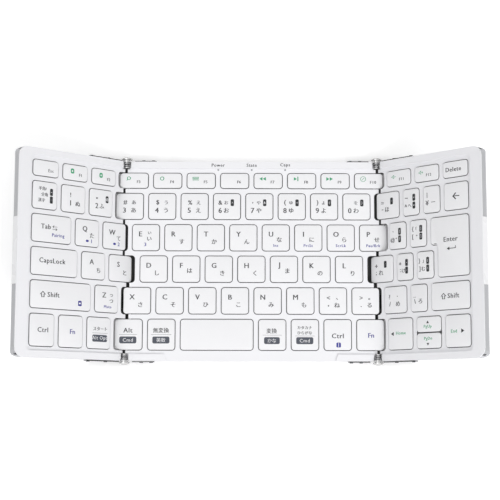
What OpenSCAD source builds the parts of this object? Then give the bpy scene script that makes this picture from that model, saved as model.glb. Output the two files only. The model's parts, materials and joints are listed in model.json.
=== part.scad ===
// Three-panel folding keyboard with a Japanese key layout.
// Millimetres. The origin lies under the middle of the centre panel, on the surface it stands on.
// +X runs to the user's right, +Y to the rear, +Z up. The wings are modelled lying open
// beside the centre panel and are then raised about their hinge lines.

/* [Wings] */
// How far the left wing is raised from flat, in degrees
left_raise = 41.4; // [0:0.1:180]
// How far the right wing is raised from flat, in degrees
right_raise = 44; // [0:0.1:180]

/* [Panels] */
// Distance from the middle of the keyboard to each hinge line
hinge_x = 73.3; // [73:0.1:75]
// Width of the open seam between two panels
seam_w = 0.6; // [0.5:0.05:0.9]
// Clearance between the tip of an overhanging keycap and the notch it lies in
notch_gap = 0.85; // [0.7:0.05:1]
// Clearance between the sides of an overhanging keycap and its notch
notch_side = 0.5; // [0.4:0.05:0.7]
// How much the clearance at the tip changes with the overhang, more in a wing, less in the centre
notch_lean = 0.07; // [0:0.01:0.1]
// Distance from a hinge line to the outer edge of the outermost keycaps
key_reach = 63.3; // [60:0.1:66]
// Deck between the outermost keycaps and the raised side rim
side_margin = 2.1; // [1.5:0.1:4]
// Width of the raised rim at the outer side of a wing
side_rim = 7.4; // [5:0.1:9]
// Deck between the function keys and the rear rim
rear_margin = 2.95; // [2.5:0.05:4]
// Deck between the bottom row and the front rim
front_margin = 2.55; // [2:0.05:4]
// Width of the raised rim at the front and the rear
rim_w = 3.9; // [3.5:0.1:6]
// Radius of the outer corners of a wing
corner_r = 5.5; // [3:0.1:8]
// Radius of the corners of the recessed deck
well_r = 2.6; // [1:0.1:4]

/* [Keys] */
// Width of a standard keycap
key_w = 15.6; // [15.2:0.1:15.8]
// Width of a function keycap
function_w = 16.3; // [16:0.1:16.5]
// Width of the space bar
space_w = 41.9; // [40:0.1:43]
// Width of the narrow symbol keys
narrow_w = 11; // [10.6:0.1:11.2]
// Width of the function key next to the right seam
seam_function_w = 16.8; // [16.4:0.1:17]
// Width of the number key next to the right seam
seam_number_w = 15.9; // [15.4:0.1:16.4]
// Width of the narrow key next to the right seam
seam_narrow_w = 11.7; // [11.2:0.1:12]
// Width of the home key
home_w = 16.9; // [16.4:0.1:17.4]
// Depth of a keycap in the number and letter rows
key_d = 15.1; // [14.6:0.1:15.6]
// Depth of a function keycap
function_d = 8.7; // [8.2:0.1:10]
// Depth of a keycap in the bottom row
bottom_d = 17.6; // [16.8:0.1:18.4]
// Distance between two neighbouring keycaps
web = 3.4; // [3.2:0.1:3.6]
// Gap between a keycap and its opening
key_gap = 0.45; // [0.3:0.05:0.6]
// Slit between the two half-height page keys
page_slit = 0.7; // [0.5:0.1:1]
// Radius of the keycap corners
key_r = 1.6; // [1:0.1:2.2]
// Height of a keycap
key_h = 1.5; // [1.4:0.05:1.6]
// Thickness of a keycap's top
key_top_t = 0.7; // [0.6:0.05:0.8]
// Thickness of a keycap's skirt
key_skirt_t = 0.9; // [0.7:0.05:1.1]
// Step that eases a keycap's upper edge
key_edge = 0.22; // [0.1:0.02:0.4]
// Travel of a key
key_travel = 1.2; // [0.8:0.05:1.2]

/* [Casing] */
// Height of the rubber feet
foot_h = 0.8; // [0.6:0.05:1.2]
// Radius of the rubber feet
foot_r = 3.5; // [2.5:0.1:4]
// Thickness of a panel, from its underside to the top of its rim
panel_t = 7; // [7:0.1:8]
// Distance from the top of the rim down to the deck
deck_drop = 1.1; // [0.9:0.05:1.2]
// Distance from the top of the rim down to the keycaps
key_drop = 0.5; // [0.4:0.05:0.6]
// Height of the rim's edge above the bottom shell's wall
rim_lip = 0.7; // [0.5:0.05:0.9]
// Thickness of the deck
deck_t = 1.7; // [1.5:0.05:1.8]
// Thickness of the bottom shell's walls
wall = 1.2; // [1:0.05:1.4]
// Thickness of the bottom shell's floor
floor_t = 0.8; // [0.7:0.05:0.9]
// Thickness of the skirt that hangs below the deck
skirt_t = 1.1; // [0.9:0.05:1.3]
// Assembly clearance between a frame and its shell
fit = 0.1; // [0.05:0.05:0.2]
// Radius of the bottom shell's rounded lower edge
under_r = 3.1; // [2.6:0.1:3.2]
// Length of the insert in a wing's outer side
insert_l = 37.4; // [30:0.1:45]
// Height of the insert in a wing's outer side
insert_h = 4.4; // [3.6:0.1:4.8]
// Depth of the insert in a wing's outer side
insert_t = 0.9; // [0.6:0.05:1]
// Length of the lowered part of the centre panel's front rim
thumb_l = 97; // [80:0.5:110]
// How far each end of that part slants
thumb_slant = 1.8; // [1:0.1:4]

/* [Hinges] */
// Height of the hinge axis above the rim
axis_rise = 0.3; // [0.2:0.05:0.5]
// Radius of the hinge eyes
eye_r = 2.2; // [2.1:0.05:2.8]
// Radius of the hinges' domed end caps
cap_r = 3.1; // [2.8:0.1:3.4]
// Radius of the hinge shaft
shaft_r = 1; // [0.8:0.05:1.2]
// Running clearance between a shaft and the leaf that turns on it
shaft_fit = 0.05; // [0.02:0.01:0.08]
// Thickness of a hinge leaf
leaf_t = 0.6; // [0.5:0.05:1]
// Width of a hinge leaf's strap
leaf_w = 3; // [2.6:0.1:3]
// Reach of a leaf along the centre panel
centre_leaf_l = 17.2; // [15:0.1:22]
// Reach of a leaf along a wing
wing_leaf_l = 25.4; // [22:0.1:30]
// Length of a hinge's domed end cap
cap_l = 1.6; // [1.2:0.05:1.8]
// Clearance between two stacked hinge parts
stack_gap = 0.12; // [0.1:0.01:0.15]
// Clearance round the hinge parts in the panels' corners
relief = 0.35; // [0.3:0.05:0.5]
// Number of pairs of spring washers on a shaft
washer_pairs = 2; // [1:1:2]
// Thickness of a spring washer
washer_t = 0.35; // [0.3:0.05:0.4]
// Height of a spring washer's cone
washer_cone = 0.3; // [0.2:0.05:0.35]
// Radius of the largest spring washers
washer_r = 2; // [1.9:0.05:2.4]
// How much smaller the next pair of spring washers is
washer_step = 0.4; // [0.2:0.05:0.4]
// Radius that the underside of a wing's overhangs is rounded to, about the hinge axis
sweep_r = 7.6; // [7.4:0.05:7.7]

/* [Screws] */
// Radius of a leaf screw's shank
screw_r = 0.6; // [0.5:0.05:0.7]
// Radius of a leaf screw's head
screw_head_r = 1.05; // [0.9:0.05:1.2]
// Height of a leaf screw's head
screw_head_h = 0.35; // [0.3:0.05:0.5]
// Clearance round a screw's shank
screw_fit = 0.05; // [0.05:0.05:0.1]

/* [Inside] */
// Thickness of a key support plate
plate_t = 0.4; // [0.3:0.05:0.5]
// Thickness of a switch membrane
film_t = 0.3; // [0.2:0.05:0.3]
// Clearance between a fully pressed keycap and the membrane
press_gap = 0.3; // [0.2:0.05:0.4]
// Radius of a rubber dome at its foot
dome_r = 2.1; // [1.6:0.1:2.2]
// Thickness of a scissor link
link_t = 0.45; // [0.4:0.05:0.5]
// Width of a scissor link's bars
link_bar = 0.6; // [0.5:0.05:0.7]
// Radius of the posts that carry the key plates
post_r = 1.6; // [1.2:0.1:2]
// Length of the battery
battery_l = 56; // [40:1:60]
// Width of the battery
battery_w = 38; // [30:1:42]
// Thickness of the battery
battery_t = 1.7; // [1.5:0.05:1.8]
// Width of the main board
board_w = 84; // [70:1:90]
// Depth of the main board
board_d = 24; // [18:1:26]
// Thickness of the main board
board_t = 0.8; // [0.6:0.05:0.8]
// Width of the charging port
port_w = 7.4; // [7:0.1:9]
// Height of the charging port
port_h = 2.3; // [2:0.1:2.4]
// Depth of the charging port
port_d = 5.5; // [5:0.1:6.5]
// Distance from the middle of the keyboard to the charging port
port_x = 46; // [40:1:50]
// How far the charging port's mouth lies behind the rear face
port_recess = 1.1; // [0.9:0.1:1.5]
// Distance between two status lamps
lamp_pitch = 19.7; // [15:0.1:25]
// Radius of a status lamp's light pipe
lamp_r = 0.5; // [0.4:0.05:0.7]
// Width of a flexible cable between two panels
flex_w = 8; // [5:0.5:10]
// Thickness of a flexible cable
flex_t = 0.25; // [0.2:0.05:0.3]

/* [Hidden] */
// Rows run from the rear: function, number, upper, home, lower, bottom.
function_row = 0;
number_row = 1;
upper_row = 2;
home_row = 3;
lower_row = 4;
bottom_row = 5;
rows = [function_row : bottom_row];
row_depths = [function_d, key_d, key_d, key_d, key_d, bottom_d];
// How far each row of the centre panel is shifted to the right.
row_shift = [-0.15, -4.95, 4.7, -0.05, -0.05, -1.05];
centre_widths = [
    [for (k = [1:8]) function_w],
    [for (k = [1:8]) key_w],
    [for (k = [1:8]) key_w],
    [for (k = [1:7]) key_w],
    [for (k = [1:8]) key_w],
    [key_w, key_w, space_w, key_w, key_w, key_w, key_w]
];
// How far each row of a wing starts outside the hinge line. Below zero it overhangs the centre.
left_tips = [7.6, 9.7, -0.2, -4.8, 4.7, 9.7];
right_tips = [7.1, -0.6, 8.4, -5.2, 4.4, 7];
// Keycaps of a wing row from the outside in, without the outermost, which takes what is left.
left_inner = [
    [function_w, function_w],
    [key_w, key_w],
    [key_w, key_w],
    [key_w, key_w],
    [key_w],
    [key_w, key_w]
];
right_inner = [
    [function_w, seam_function_w],
    [narrow_w, narrow_w, seam_number_w],
    [narrow_w, seam_narrow_w],
    [narrow_w, narrow_w, key_w],
    [narrow_w, key_w],
    [function_w, home_w]
];
// How far the seam lies outside the hinge line between two rows, from the rear.
left_steps = [1.15, 1.1, 1, -1.9, -1.6];
right_steps = [1.75, 1.7, -0.2, -1.7, -1.1];

rows_d = total(row_depths, len(row_depths)) + (len(row_depths) - 1) * web;
panel_d = rows_d + rear_margin + front_margin + 2 * rim_w;
rear_y = panel_d / 2;
well_y = rear_y - rim_w;
keys_rear = well_y - rear_margin;
edge_x = hinge_x - seam_w / 2;
wing_l = key_reach + side_margin + side_rim;
outer_x = hinge_x + wing_l;
well_x = hinge_x + key_reach + side_margin;

under_z = foot_h;
floor_z = under_z + floor_t;
rim_z = under_z + panel_t;
band_z = rim_z - rim_lip;
deck_z = rim_z - deck_drop;
deck_under = deck_z - deck_t;
key_z = rim_z - key_drop;
skirt_z = key_z - key_h;
film_z = skirt_z - key_travel - press_gap;
plate_z = film_z - film_t - plate_t;
axis_z = rim_z + axis_rise;
cap_in_z = key_z - key_top_t;
// Along a seam the shell's wall ends here and the frame's skirt begins.
split_z = film_z;
// In the lowered part of the front rim the shell's wall ends here.
thumb_z = deck_z - rim_lip;
// The insert hangs from the top of the shell's wall.
insert_z = band_z - insert_h;

leaf_y0 = rear_y + stack_gap;
leaf_y1 = leaf_y0 + leaf_t;
eye_y0 = leaf_y0 - stack_gap - leaf_t;
cap_y = leaf_y1 + stack_gap;
pair_l = 2 * (washer_t + washer_cone);
stack_y = eye_y0 - stack_gap - washer_pairs * (pair_l + stack_gap);
relief_y = eye_y0 - stack_gap;
rivet_r = shaft_r + 0.35;
rivet_l = 0.5;
strap_z0 = band_z - fit - leaf_w;
strap_z = strap_z0 + leaf_w / 2;
elbow = 4.4;
tab_root = 3;
elbow_l = 1.3;
screw_in = wall + fit + skirt_t;
centre_screws_t = [centre_leaf_l - 7.6, centre_leaf_l - 1.9];
wing_screws_t = [wing_leaf_l - 14, wing_leaf_l - 1.9];

lamp_y = well_y - 0.7;
flex_y = (row_rear(lower_row) + row_front(lower_row)) / 2;
flex_z = floor_z + 0.6;
flex_r = axis_z - flex_z;
flex_slot = 0.35;
flex_in = 13;
battery_x = 8;
battery_y = 4;
board_x = -60;
board_rear = rear_y - wall - 2;
post_pitch = (hinge_x - 7.3) / 2;
board_post_y = rear_y - 18.5;
post_y = rear_y - 10.5;
foot_y = rear_y - 8;
centre_foot_x = hinge_x - 13.5;
wing_foot_x = hinge_x + key_reach - 1.3;
port_y = rear_y - port_d - port_recess;
scissor_l = 10;
scissor_w = 8.2;
short_scissor_w = 6.2;
wide_key = 24;
dome_top = 0.55;
arc_steps = 5;
eps = 0.05;
$fn = 48;

// ---- Layout: every keycap is a rectangle [x0, x1, y0, y1] of the flat, open keyboard ----

function total(v, n) = n <= 0 ? 0 : v[n - 1] + total(v, n - 1);
function row_rear(i) = keys_rear - total(row_depths, i) - i * web;
function row_front(i) = row_rear(i) - row_depths[i];
function span(a, b, i) = [min(a, b), max(a, b), row_front(i), row_rear(i)];
function centre_start(i, k) =
    let (v = centre_widths[i], n = len(v))
    row_shift[i] - (total(v, n) + (n - 1) * web) / 2 + total(v, k) + k * web;
function centre_row(i) = [
    for (k = [0 : len(centre_widths[i]) - 1])
        span(centre_start(i, k), centre_start(i, k) + centre_widths[i][k], i)
];
function wing_widths(side, i) =
    let (v = side < 0 ? left_inner[i] : right_inner[i], tip = side < 0 ? left_tips[i] : right_tips[i])
    concat([key_reach - tip - total(v, len(v)) - len(v) * web], v);
function wing_row(side, i) =
    let (v = wing_widths(side, i))
    [for (k = [0 : len(v) - 1])
        let (s = hinge_x + key_reach - total(v, k) - k * web)
        span(side * s, side * (s - v[k]), i)];
function pick(v, a, b) = [for (k = [a : b]) v[k]];
function last(v) = v[len(v) - 1];
function grown(r, g) = [r[0] - g, r[1] + g, r[2] - g, r[3] + g];
function mid(r) = [(r[0] + r[1]) / 2, (r[2] + r[3]) / 2];
function centre_caps() = [for (i = rows) each centre_row(i)];
function wing_caps(side) = [for (i = rows) each wing_row(side, i)];
// The two half-height page keys share the middle place of the right wing's bottom row.
function page_caps() =
    let (r = wing_row(1, bottom_row)[1], m = mid(r)[1], h = page_slit / 2)
    [[r[0], r[1], r[2], m - h], [r[0], r[1], m + h, r[3]]];
function enter_parts() =
    let (a = wing_row(1, upper_row)[0], b = wing_row(1, home_row)[0])
    [a, [b[0], b[1], b[2], a[3]]];
// Caps that each carry a scissor of their own, with the split and joined ones put right.
function right_switches() = concat(
    [for (i = rows) for (k = [0 : len(right_inner[i])])
        if (k > 0 || (i != upper_row && i != home_row))
            if (k != 1 || i != bottom_row) wing_row(1, i)[k]],
    page_caps(), [enter_parts()[1]]);

// Caps next to a seam, on the side of the panel that they belong to.
function centre_seam_caps(side) = [for (i = rows) side < 0 ? centre_row(i)[0] : last(centre_row(i))];
function wing_seam_caps(side) = [for (i = rows) last(wing_row(side, i))];

// Corner points of a rectangle whose corners are rounded by the four radii rr,
// counted anticlockwise from the front left one.
function round_points(r, rr) = [
    for (q = [0:3])
        let (cr = max(rr[q], 0.001), sx = q == 1 || q == 2, sy = q >= 2,
             cx = sx ? r[1] - cr : r[0] + cr, cy = sy ? r[3] - cr : r[2] + cr)
        for (k = [0 : rr[q] > 0 ? arc_steps : 0])
            let (a = 180 + 90 * q + (rr[q] > 0 ? 90 * k / arc_steps : 0))
            [cx + cr * cos(a), cy + cr * sin(a)]
];
module rounded(r, radius) polygon(round_points(r, [radius, radius, radius, radius]));
module slab(z0, z1) translate([0, 0, z0]) linear_extrude(z1 - z0) children();
module both_sides() for (side = [-1, 1]) mirror([side < 0 ? 1 : 0, 0, 0]) children();
module both_ends() for (end = [-1, 1]) mirror([0, end < 0 ? 1 : 0, 0]) children();
module raise(side) {
    angle = side < 0 ? left_raise : right_raise;
    translate([side * hinge_x, 0, axis_z]) rotate([0, -side * angle, 0])
        translate([-side * hinge_x, 0, -axis_z]) children();
}

// ---- Panel outlines ----

// Keycaps that overhang the seam: drawn g smaller than the cap, and reaching back inwards.
module overhangs(caps, side, g, inwards) {
    for (r = caps) {
        x_tip = side * (inwards ? 1 : -1) > 0 ? r[1] : r[0];
        past = inwards ? abs(x_tip) - edge_x : 2 * hinge_x - edge_x - abs(x_tip);
        if (past > 0) {
            back = side * (inwards ? edge_x - 6 : 2 * hinge_x - edge_x + 6);
            tip = x_tip - sign(x_tip - back) * g;
            polygon(round_points([min(tip, back), max(tip, back), r[2] + g, r[3] - g],
                                 let (c = max(key_r - g, 0.3), left = tip < back)
                                 left ? [c, 0, 0, c] : [0, c, c, 0]));
        }
    }
}
// Notches that take the other panel's overhanging caps, grown by g.
module notches(caps, side, g, inwards) {
    for (r = caps) {
        x_tip = side * (inwards ? 1 : -1) > 0 ? r[1] : r[0];
        past = inwards ? abs(x_tip) - edge_x : 2 * hinge_x - edge_x - abs(x_tip);
        across = notch_gap + (inwards ? 1 : -1) * notch_lean * max(past, 0) + g;
        along = notch_side + g;
        if (past > -notch_gap)
            rounded([r[0] - across, r[1] + across, r[2] - along, r[3] + along], key_r + along);
    }
}
// Between two rows the seam steps sideways. The tabs belong to the panel that reaches out there.
module seam_block(side, i, from, to, g) {
    ends = [side * (hinge_x + from), side * (hinge_x + to)];
    grow = g + eps;
    polygon(round_points([min(ends), max(ends), row_rear(i + 1) - grow, row_front(i) + grow], [0, 0, 0, 0]));
}
function seam_step(side, i) = side < 0 ? left_steps[i] : right_steps[i];
module centre_tabs() {
    for (side = [-1, 1]) for (i = [function_row : lower_row])
        if (seam_step(side, i) > 0) seam_block(side, i, -tab_root, seam_step(side, i) - seam_w / 2, 0);
}
module centre_tab_room(g) {
    for (side = [-1, 1]) for (i = [function_row : lower_row])
        if (seam_step(side, i) < 0)
            seam_block(side, i, seam_step(side, i) - seam_w / 2 - g, tab_root, g);
}
module wing_tabs(side) {
    for (i = [function_row : lower_row])
        if (seam_step(side, i) < 0) seam_block(side, i, seam_step(side, i) + seam_w / 2, tab_root, 0);
}
module wing_tab_room(side, g) {
    for (i = [function_row : lower_row])
        if (seam_step(side, i) > 0)
            seam_block(side, i, -tab_root, seam_step(side, i) + seam_w / 2 + g, g);
}
// The centre panel's outline, drawn in by g. With tongues under the overhanging caps or without.
module centre_plan(g, tongues) {
    difference() {
        union() {
            rounded([-edge_x + g, edge_x - g, -rear_y + g, rear_y - g], max(0.8 - g, 0.2));
            if (tongues) for (side = [-1, 1]) overhangs(centre_seam_caps(side), side, g, true);
            if (g == 0) centre_tabs();
        }
        for (side = [-1, 1]) notches(wing_seam_caps(side), side, g, false);
        centre_tab_room(g);
    }
}
// A wing's outline, drawn in by g.
module wing_plan(side, g, tongues) {
    c = max(corner_r - g, 1);
    near = 2 * hinge_x - edge_x + g;
    far = outer_x - g;
    difference() {
        union() {
            polygon(round_points([min(side * near, side * far), max(side * near, side * far),
                                  -rear_y + g, rear_y - g],
                                 side < 0 ? [c, 0.8, 0.8, c] : [0.8, c, c, 0.8]));
            if (tongues) overhangs(wing_seam_caps(side), side, g, false);
            if (g == 0) wing_tabs(side);
        }
        notches(centre_seam_caps(side), side, g, true);
        wing_tab_room(side, g);
    }
}
// Profile of the casing's lower edges across a width of 2 * half: straight sides on round corners.
module hull_profile(half, round_near, round_far) {
    a = round_near ? under_r : 0;
    b = round_far ? under_r : 0;
    polygon(round_points([half[0], half[1], under_z, rim_z + 1], [a, b, 0, 0]));
}
// Keeps what lies inside the rounded front and rear edges.
module front_rear_edges(x0, x1) {
    translate([x0, 0, 0]) rotate([90, 0, 90]) linear_extrude(x1 - x0)
        hull_profile([-rear_y, rear_y], true, true);
}
// Keeps what lies inside the rounded outer edge of a wing, and inside the sweep of its overhangs.
module wing_side_edge(side) {
    reach = 12;
    translate([0, rear_y, 0]) rotate([90, 0, 0]) linear_extrude(2 * rear_y) {
        hull_profile(side < 0 ? [-outer_x, -hinge_x] : [hinge_x, outer_x], side < 0, side > 0);
        intersection() {
            translate([side * hinge_x, axis_z]) circle(sweep_r, $fn = 96);
            translate([side * (hinge_x - reach / 2 + eps), rim_z - reach / 2])
                square(reach, center = true);
        }
    }
}

// ---- Cuts that the hinges, screws and cables need ----

module hinge_reliefs(side) {
    both_ends() translate([side * hinge_x, 0, axis_z]) rotate([-90, 0, 0]) {
        translate([0, 0, stack_y - rivet_l - relief]) cylinder(r = washer_r + relief, h = rear_y);
        translate([0, 0, relief_y]) cylinder(r = eye_r + relief, h = rear_y);
    }
}
// Room for the elbow of the centre leaf, which runs from the eye out to the rear face.
module elbow_pockets() {
    both_sides() both_ends()
        translate([hinge_x - elbow - elbow_l - relief, relief_y, strap_z0 - relief])
            cube([elbow + elbow_l + 2 * relief, rear_y, leaf_w + 2 * relief]);
}
module screw_line(positions, r, y0, y1) {
    both_ends() for (x = positions)
        translate([x, y0, strap_z]) rotate([-90, 0, 0]) cylinder(r = r, h = y1 - y0, $fn = 32);
}
function centre_screw_x() = [for (side = [-1, 1]) for (t = centre_screws_t) side * (hinge_x - t)];
function wing_screw_x(side) = [for (t = wing_screws_t) side * (hinge_x + t)];
module screw_holes(positions) {
    screw_line(positions, screw_r + screw_fit, rear_y - screw_in - 1, rear_y + 1);
}
// Slot through both seam walls for the flexible cable.
module flex_slots(side) {
    translate([side * hinge_x, flex_y, flex_z])
        cube([12, flex_w + 2 * flex_slot, 2 * flex_slot + flex_t], center = true);
}

// ---- Casing ----

// The lowered part of the front rim.
module thumb_part() {
    polygon([[-thumb_l / 2 - thumb_slant, -well_y + eps], [-thumb_l / 2, -rear_y - 1],
             [thumb_l / 2, -rear_y - 1], [thumb_l / 2 + thumb_slant, -well_y + eps]]);
}
module centre_bottom_shell() color("white") {
    difference() {
        intersection() {
            slab(under_z, band_z) centre_plan(0, true);
            front_rear_edges(-outer_x, outer_x);
        }
        slab(floor_z, split_z) centre_plan(wall, true);
        slab(split_z - eps, rim_z) square([4 * hinge_x, 2 * (rear_y - wall)], center = true);
        for (side = [-1, 1]) {
            hinge_reliefs(side);
            flex_slots(side);
        }
        slab(thumb_z, rim_z) thumb_part();
        elbow_pockets();
        screw_holes(centre_screw_x());
        port_block(fit);
    }
    posts([for (x = [-2 : 2]) for (y = [-post_y, 18 - post_y, board_post_y]) [x * post_pitch, y]]);
    posts([for (x = [-2 : 0]) for (y = [-6, 17]) [x * post_pitch, y]]);
}
module wing_bottom_shell(side) {
    difference() {
        intersection() {
            slab(under_z, band_z) wing_plan(side, 0, true);
            front_rear_edges(-outer_x, outer_x);
            wing_side_edge(side);
        }
        intersection() {
            slab(floor_z, split_z) wing_plan(side, wall, true);
            wing_cavity_edge(side);
        }
        slab(split_z - eps, rim_z) {
            x = side * (outer_x / 2 - wall);
            translate([x, 0]) square([outer_x, 2 * (rear_y - wall)], center = true);
        }
        hinge_reliefs(side);
        flex_slots(side);
        screw_holes(wing_screw_x(side));
        insert_block(side, fit);
    }
    for (share = [0.19, 0.6, 0.98])
        posts([for (y = [-3, -1, 1, 3]) [side * (hinge_x + share * key_reach), y * post_y / 3]]);
}
// The cavity follows the rounded underside of the overhangs.
module wing_cavity_edge(side) {
    far = outer_x + 5;
    reach = 12;
    translate([0, rear_y, 0]) rotate([90, 0, 0]) linear_extrude(2 * rear_y) {
        translate([side > 0 ? hinge_x : -far, 0]) square([far - hinge_x, rim_z]);
        intersection() {
            translate([side * hinge_x, axis_z]) circle(sweep_r - floor_t, $fn = 96);
            translate([side * (hinge_x - reach / 2 + eps), rim_z - reach / 2])
                square(reach, center = true);
        }
    }
}
module posts(places) {
    for (p = places)
        translate([p[0], p[1], floor_z - eps]) cylinder(r = post_r, h = plate_z - floor_z + eps);
}
module insert_block(side, g) {
    x0 = outer_x - insert_t - g;
    translate([side < 0 ? -x0 - insert_t - 2 * g : x0, -insert_l / 2 - g, insert_z - g])
        cube([insert_t + (g > 0 ? 2 * g : 0), insert_l + 2 * g, insert_h + (g > 0 ? 1 : 0)]);
}

// Opening in the deck for one cap. A cap at the seam leaves its side open.
module opening(r, side, open) {
    reach = open ? 3 : 0;
    g = grown(r, key_gap);
    c = key_r + key_gap;
    x0 = side < 0 ? g[0] - reach : g[0];
    x1 = side > 0 ? g[1] + reach : g[1];
    polygon(round_points([x0, x1, g[2], g[3]],
                         !open ? [c, c, c, c] : side < 0 ? [0, c, c, 0] : [c, 0, 0, c]));
}
module centre_openings() {
    for (i = rows) {
        caps = centre_row(i);
        n = len(caps) - 1;
        for (k = [0 : n]) {
            side = k == 0 ? -1 : k == n ? 1 : 0;
            open = side < 0 ? -caps[0][0] > edge_x : side > 0 ? caps[n][1] > edge_x : false;
            opening(caps[k], side, open);
        }
    }
}
module wing_openings(side) {
    inner = 2 * hinge_x - edge_x;
    for (i = rows) {
        caps = wing_row(side, i);
        n = len(caps) - 1;
        for (k = [0 : n]) {
            tip = side > 0 ? caps[k][0] : -caps[k][1];
            opening(caps[k], -side, k == n && tip < inner);
        }
    }
    if (side > 0) opening(enter_parts()[1], 0, false);
}
module centre_top_frame() color("white") {
    inner_y = rear_y - wall - fit;
    difference() {
        union() {
            slab(band_z, rim_z) centre_plan(0, false);
            slab(split_z, band_z) intersection() {
                centre_plan(0, false);
                square([4 * hinge_x, 2 * inner_y], center = true);
            }
            slab(thumb_z, band_z) intersection() {
                centre_plan(0, false);
                thumb_part();
            }
        }
        slab(deck_z, rim_z + 1) square([4 * hinge_x, 2 * well_y], center = true);
        slab(deck_z, rim_z + 1) thumb_part();
        slab(split_z - eps, deck_under) intersection() {
            centre_plan(skirt_t, false);
            square([4 * hinge_x, 2 * (inner_y - skirt_t)], center = true);
        }
        slab(split_z - 2 * eps, rim_z + 1) centre_openings();
        for (side = [-1, 1]) hinge_reliefs(side);
        elbow_pockets();
        screw_holes(centre_screw_x());
        lamp_pipes(fit / 2);
    }
}
module wing_top_frame(side) {
    inner_y = rear_y - wall - fit;
    inner_x = outer_x - wall - fit;
    x0 = side < 0 ? -inner_x : hinge_x - 10;
    x1 = side < 0 ? -hinge_x + 10 : inner_x;
    difference() {
        union() {
            slab(band_z, rim_z) wing_plan(side, 0, false);
            slab(split_z, band_z) intersection() {
                wing_plan(side, 0, false);
                rounded([x0, x1, -inner_y, inner_y], corner_r - wall - fit);
            }
        }
        slab(deck_z, rim_z + 1)
            rounded([side < 0 ? -well_x : hinge_x - 20, side < 0 ? -hinge_x + 20 : well_x,
                     -well_y, well_y], well_r);
        slab(split_z - eps, deck_under) intersection() {
            wing_plan(side, skirt_t, false);
            rounded([x0 + (side < 0 ? skirt_t : 0), x1 - (side < 0 ? 0 : skirt_t),
                     -inner_y + skirt_t, inner_y - skirt_t], corner_r - wall - fit - skirt_t);
        }
        slab(split_z - 2 * eps, rim_z + 1) wing_openings(side);
        hinge_reliefs(side);
        screw_holes(wing_screw_x(side));
    }
}

// ---- Keys ----

module keycap(r) {
    difference() {
        union() {
            slab(skirt_z, key_z - key_edge) rounded(r, key_r);
            slab(key_z - key_edge - eps, key_z) rounded(grown(r, -key_edge), key_r - key_edge);
        }
        slab(skirt_z - eps, cap_in_z) rounded(grown(r, -key_skirt_t), key_r - key_skirt_t);
    }
}
module caps(list) for (r = list) keycap(r);
module enter_cap() {
    parts = enter_parts();
    difference() {
        union() {
            slab(skirt_z, key_z - key_edge) for (r = parts) rounded(r, key_r);
            slab(key_z - key_edge - eps, key_z)
                for (r = parts) rounded(grown(r, -key_edge), key_r - key_edge);
        }
        slab(skirt_z - eps, cap_in_z)
            for (r = parts) rounded(grown(r, -key_skirt_t), key_r - key_skirt_t);
    }
}

// ---- Mechanism under the keys ----

// One link of a scissor: a frame that slopes from the plate up to the keycap.
module link(l, w, slope) {
    rotate([0, slope, 0]) translate([0, 0, -link_t / 2]) linear_extrude(link_t) difference() {
        square([l, w], center = true);
        square([l - 2 * link_bar, w - 2 * link_bar], center = true);
    }
}
module scissor(p, w) {
    rise = cap_in_z - film_z - link_t - 2 * fit;
    slope = asin(rise / scissor_l);
    translate([p[0], p[1], (cap_in_z + film_z) / 2]) {
        link(scissor_l * 0.94, w, slope);
        link(scissor_l * 0.94, w - 2 * link_bar - 2 * fit, -slope);
    }
}
// Short caps get a shallow scissor along X, tall ones a scissor along Y, wide ones two of them.
module cap_scissors(r) {
    w = r[1] - r[0];
    d = r[3] - r[2];
    p = mid(r);
    spread = w > wide_key ? [-w / 4, w / 4] : [0];
    for (dx = spread) {
        if (d < scissor_l + 2) scissor([p[0] + dx, p[1]], short_scissor_w);
        else translate([p[0] + dx, p[1], 0]) rotate([0, 0, 90]) scissor([0, 0], scissor_w);
    }
}
module scissors(list) for (r = list) cap_scissors(r);
// Rubber domes, one under the middle of each cap. Wide caps keep theirs between the scissors.
module domes(list) {
    for (r = list) {
        p = mid(r);
        foot = r[3] - r[2] < scissor_l + 2 ? dome_r * 0.8 : dome_r;
        translate([p[0], p[1], film_z - eps])
            cylinder(r1 = foot, r2 = foot * dome_top, h = cap_in_z - film_z);
    }
}
module pipe_holes() {
    for (x = [-1 : 1]) translate([x * lamp_pitch, lamp_y]) circle(lamp_r + 3 * fit);
}
module centre_sheet(g) {
    difference() {
        centre_plan(wall + g, true);
        pipe_holes();
    }
}
module centre_key_plate() color("gray") {
    difference() {
        slab(plate_z, plate_z + plate_t) centre_sheet(fit);
        port_block(2 * fit);
    }
}
module centre_switch_membrane() color("gainsboro") {
    slab(plate_z + plate_t, film_z) difference() {
        centre_sheet(fit);
        port_notch();
    }
    domes(centre_caps());
}
// The sheets of a wing end where the overhangs' underside curves up.
module wing_sheet(side) {
    intersection() {
        wing_plan(side, wall + fit, true);
        square([4 * outer_x, 2 * rear_y], center = true);
    }
}
module wing_key_plate(side) slab(plate_z, plate_z + plate_t) wing_sheet(side);
module wing_switch_membrane(side, list) {
    slab(plate_z + plate_t, film_z) wing_sheet(side);
    domes(list);
}

// ---- Electronics ----

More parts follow.
